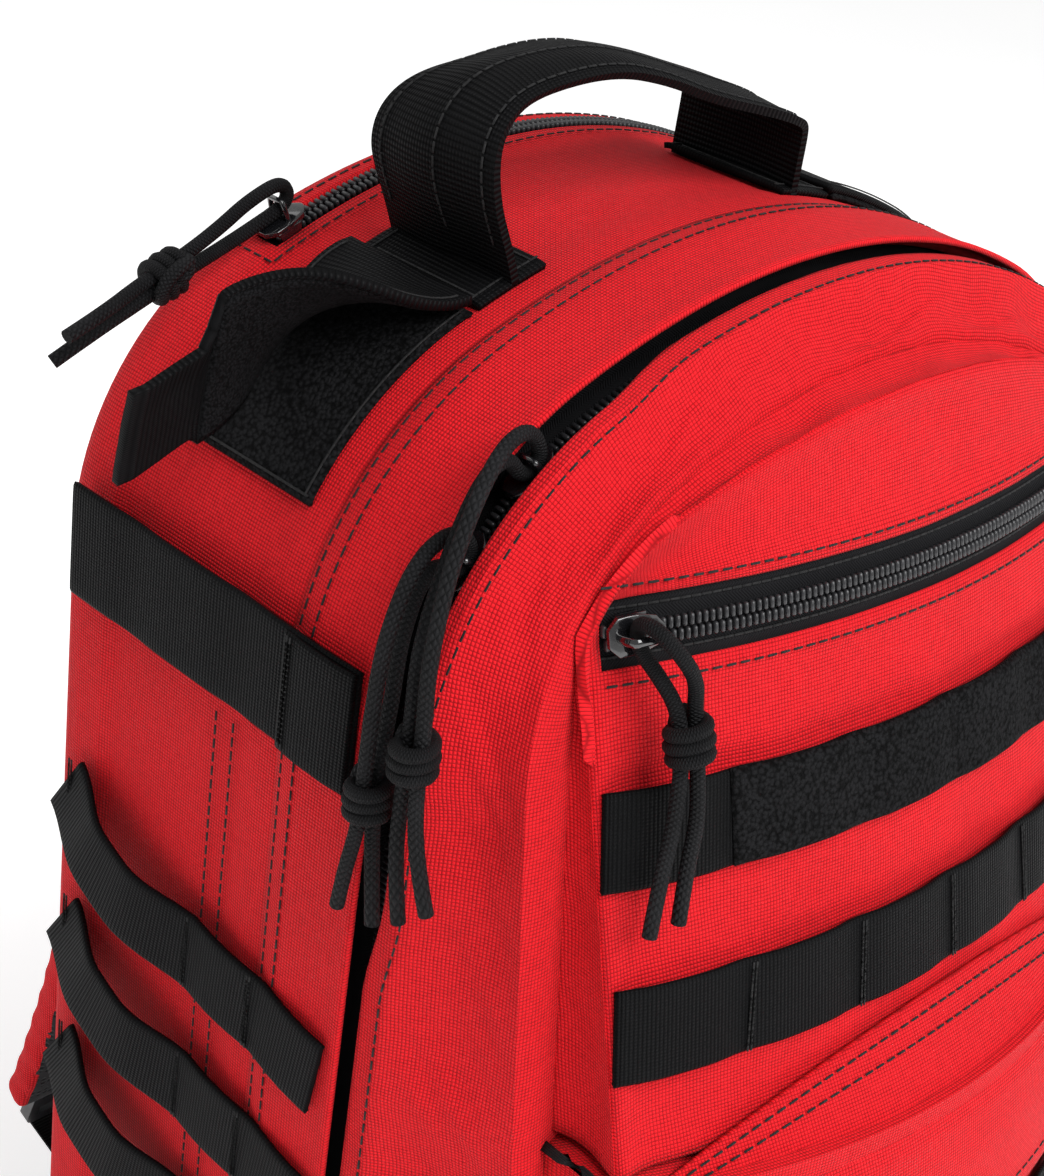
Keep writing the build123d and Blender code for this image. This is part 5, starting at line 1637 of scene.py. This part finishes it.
class PadMaker(bpy.types.Operator):
    """Back pads, lumbar pad and the shoulder straps"""

    bl_idname = "backpack.pads"
    bl_label = "Pads and straps"

    def execute(self, context):
        for node, name in (("back_pads", "back_pad_foam"), ("lumbar_pad", "lumbar_pad_foam")):
            piece = soften(copy_node(node, name, "mesh"), 5 * MM, 4.0, 6 * MM)
            self.channels(piece)
            join_bag(piece, "main_bag", "air_mesh", node)
        for side in ("left", "right"):
            piece = copy_node(f"{side}_shoulder_pad", f"{side}_strap_foam", "mesh")
            soften(piece, 4 * MM, 2.5, 2.5 * MM)
            coat(piece, "mesh", "cloth")
            box_uv(piece)
            middle = sum(v.co.x for v in piece.data.vertices) / len(piece.data.vertices)
            for face in piece.data.polygons:
                rim = abs(face.center.x - middle) > 25.5 * MM
                face.material_index = 1 if rim or face.normal.y > 0.25 else 0
            join_bag(piece, f"{side}_strap", "air_mesh", f"{side}_shoulder_pad")
            self.lower_webbing(side)
            coat(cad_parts[f"{side}_ladder_lock"], "buckle")
        rounded("strap_anchors", "anchor_webbing", "wide", "webbing", "main_bag", 0.8 * MM)
        rounded("lower_strap_tabs", "lower_tab_webbing", "webbing", "webbing", "main_bag", 0.8 * MM)
        return {"FINISHED"}

    def channels(self, piece):
        """Sewn channels across the pads."""
        for vert in piece.data.vertices:
            if vert.co.y > BACK_Y + 3 * MM:
                near = abs((vert.co.z / (42 * MM)) % 1 - 0.5)
                vert.co.y -= 2.2 * MM * math.exp(-((near / 0.07) ** 2))

    def lower_webbing(self, side):
        low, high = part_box(f"{side}_lower_webbing")
        x = (low.x + high.x) / 2
        start, end = Vector((x, low.y, low.z)), Vector((x, high.y, high.z))
        points = evenly([start, end], 2.5 * MM)
        out = (end - start).cross(Vector((1, 0, 0))).normalized()
        name = f"{side}_adjuster_webbing"
        piece = band(name, points, [out] * len(points), WEBBING, 0.8 * MM, "webbing", apply=True)
        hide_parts(f"{side}_lower_webbing")
        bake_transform(piece)


class InsideMaker(bpy.types.Operator):
    """Base, back, lid panels and what is inside the compartments"""

    bl_idname = "backpack.inside"
    bl_label = "Panels and inside"

    def execute(self, context):
        for node, name, finish, slot, body, edge in (
            ("base_panel", "base_cloth", "cloth", "red_cloth", "main_bag", 0.9),
            ("hinge_strip", "hinge_cloth", "cloth", "red_cloth", "main_bag", 0.6),
            ("back_panel", "back_mesh", "mesh", "air_mesh", "main_bag", 1.2),
            ("rear_sleeve_panel", "sleeve_divider", "lining", "lining", "main_bag", 0.6),
            ("padded_shelf", "shelf_padding", "lining", "lining", "main_bag", 1.8),
            ("lid_base_panel", "lid_base_cloth", "cloth", "red_cloth", "lid", 0.7),
            ("lid_front_panel", "lid_front_cloth", "cloth", "red_cloth", "lid", 0.7),
            ("lid_inner_pocket", "lid_pocket_cloth", "lining", "lining", "lid", 0.35),
        ):
            piece = rounded(node, name, finish, slot, body, edge * MM)
            if node in ("lid_front_panel", "base_panel", "lid_base_panel"):
                piece.data.materials.append(FINISHES["lining"])
                inner = Vector((0, 1, 0)) if node == "lid_front_panel" else UP
                for face in piece.data.polygons:
                    face.material_index = int(face.normal.dot(inner) > 0.7)
        coat(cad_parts["frame_sheet"], "plastic")
        coat(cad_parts["frame_stays"], "alloy")
        return {"FINISHED"}


class ThreadMaker(bpy.types.Operator):
    """All rows of thread, one piece for each body"""

    bl_idname = "backpack.thread"
    bl_label = "Stitching"

    def execute(self, context):
        thread = pill((2.9 * MM, 0.62 * MM, 0.42 * MM), 0.3)
        for body, places in STITCHES.items():
            piece = many(f"{body}_thread", thread, places, "thread")
            if body == "handle":
                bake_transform(piece)
            else:
                join_bag(piece, body, "webbing")
        return {"FINISHED"}


MAKERS = (
    StageMaker,
    PullMaker,
    MainClothMaker,
    LidClothMaker,
    ZipMaker,
    WebbingMaker,
    HandleMaker,
    PadMaker,
    InsideMaker,
    ThreadMaker,
)


class BackpackPanel(bpy.types.Panel):
    """The bag's makers and its sizes and colours"""

    bl_idname = "VIEW3D_PT_backpack"
    bl_label = "Trauma Backpack"
    bl_space_type = "VIEW_3D"
    bl_region_type = "UI"
    bl_category = "Backpack"

    def draw(self, context):
        for name in Backpack.__annotations__:
            self.layout.prop(context.scene.backpack, name)
        for maker in MAKERS:
            self.layout.operator(maker.bl_idname)


CLASSES = (Backpack, *MAKERS, BackpackPanel)


def register():
    for kind in CLASSES:
        bpy.utils.register_class(kind)
    bpy.types.Scene.backpack = PointerProperty(type=Backpack)


def unregister():
    del bpy.types.Scene.backpack
    for kind in reversed(CLASSES):
        bpy.utils.unregister_class(kind)


def main():
    register()
    make_finishes(bpy.context.scene.backpack)
    for maker in MAKERS:
        group, step = maker.bl_idname.split(".")
        getattr(getattr(bpy.ops, group), step)()


if __name__ == "__main__":
    main()
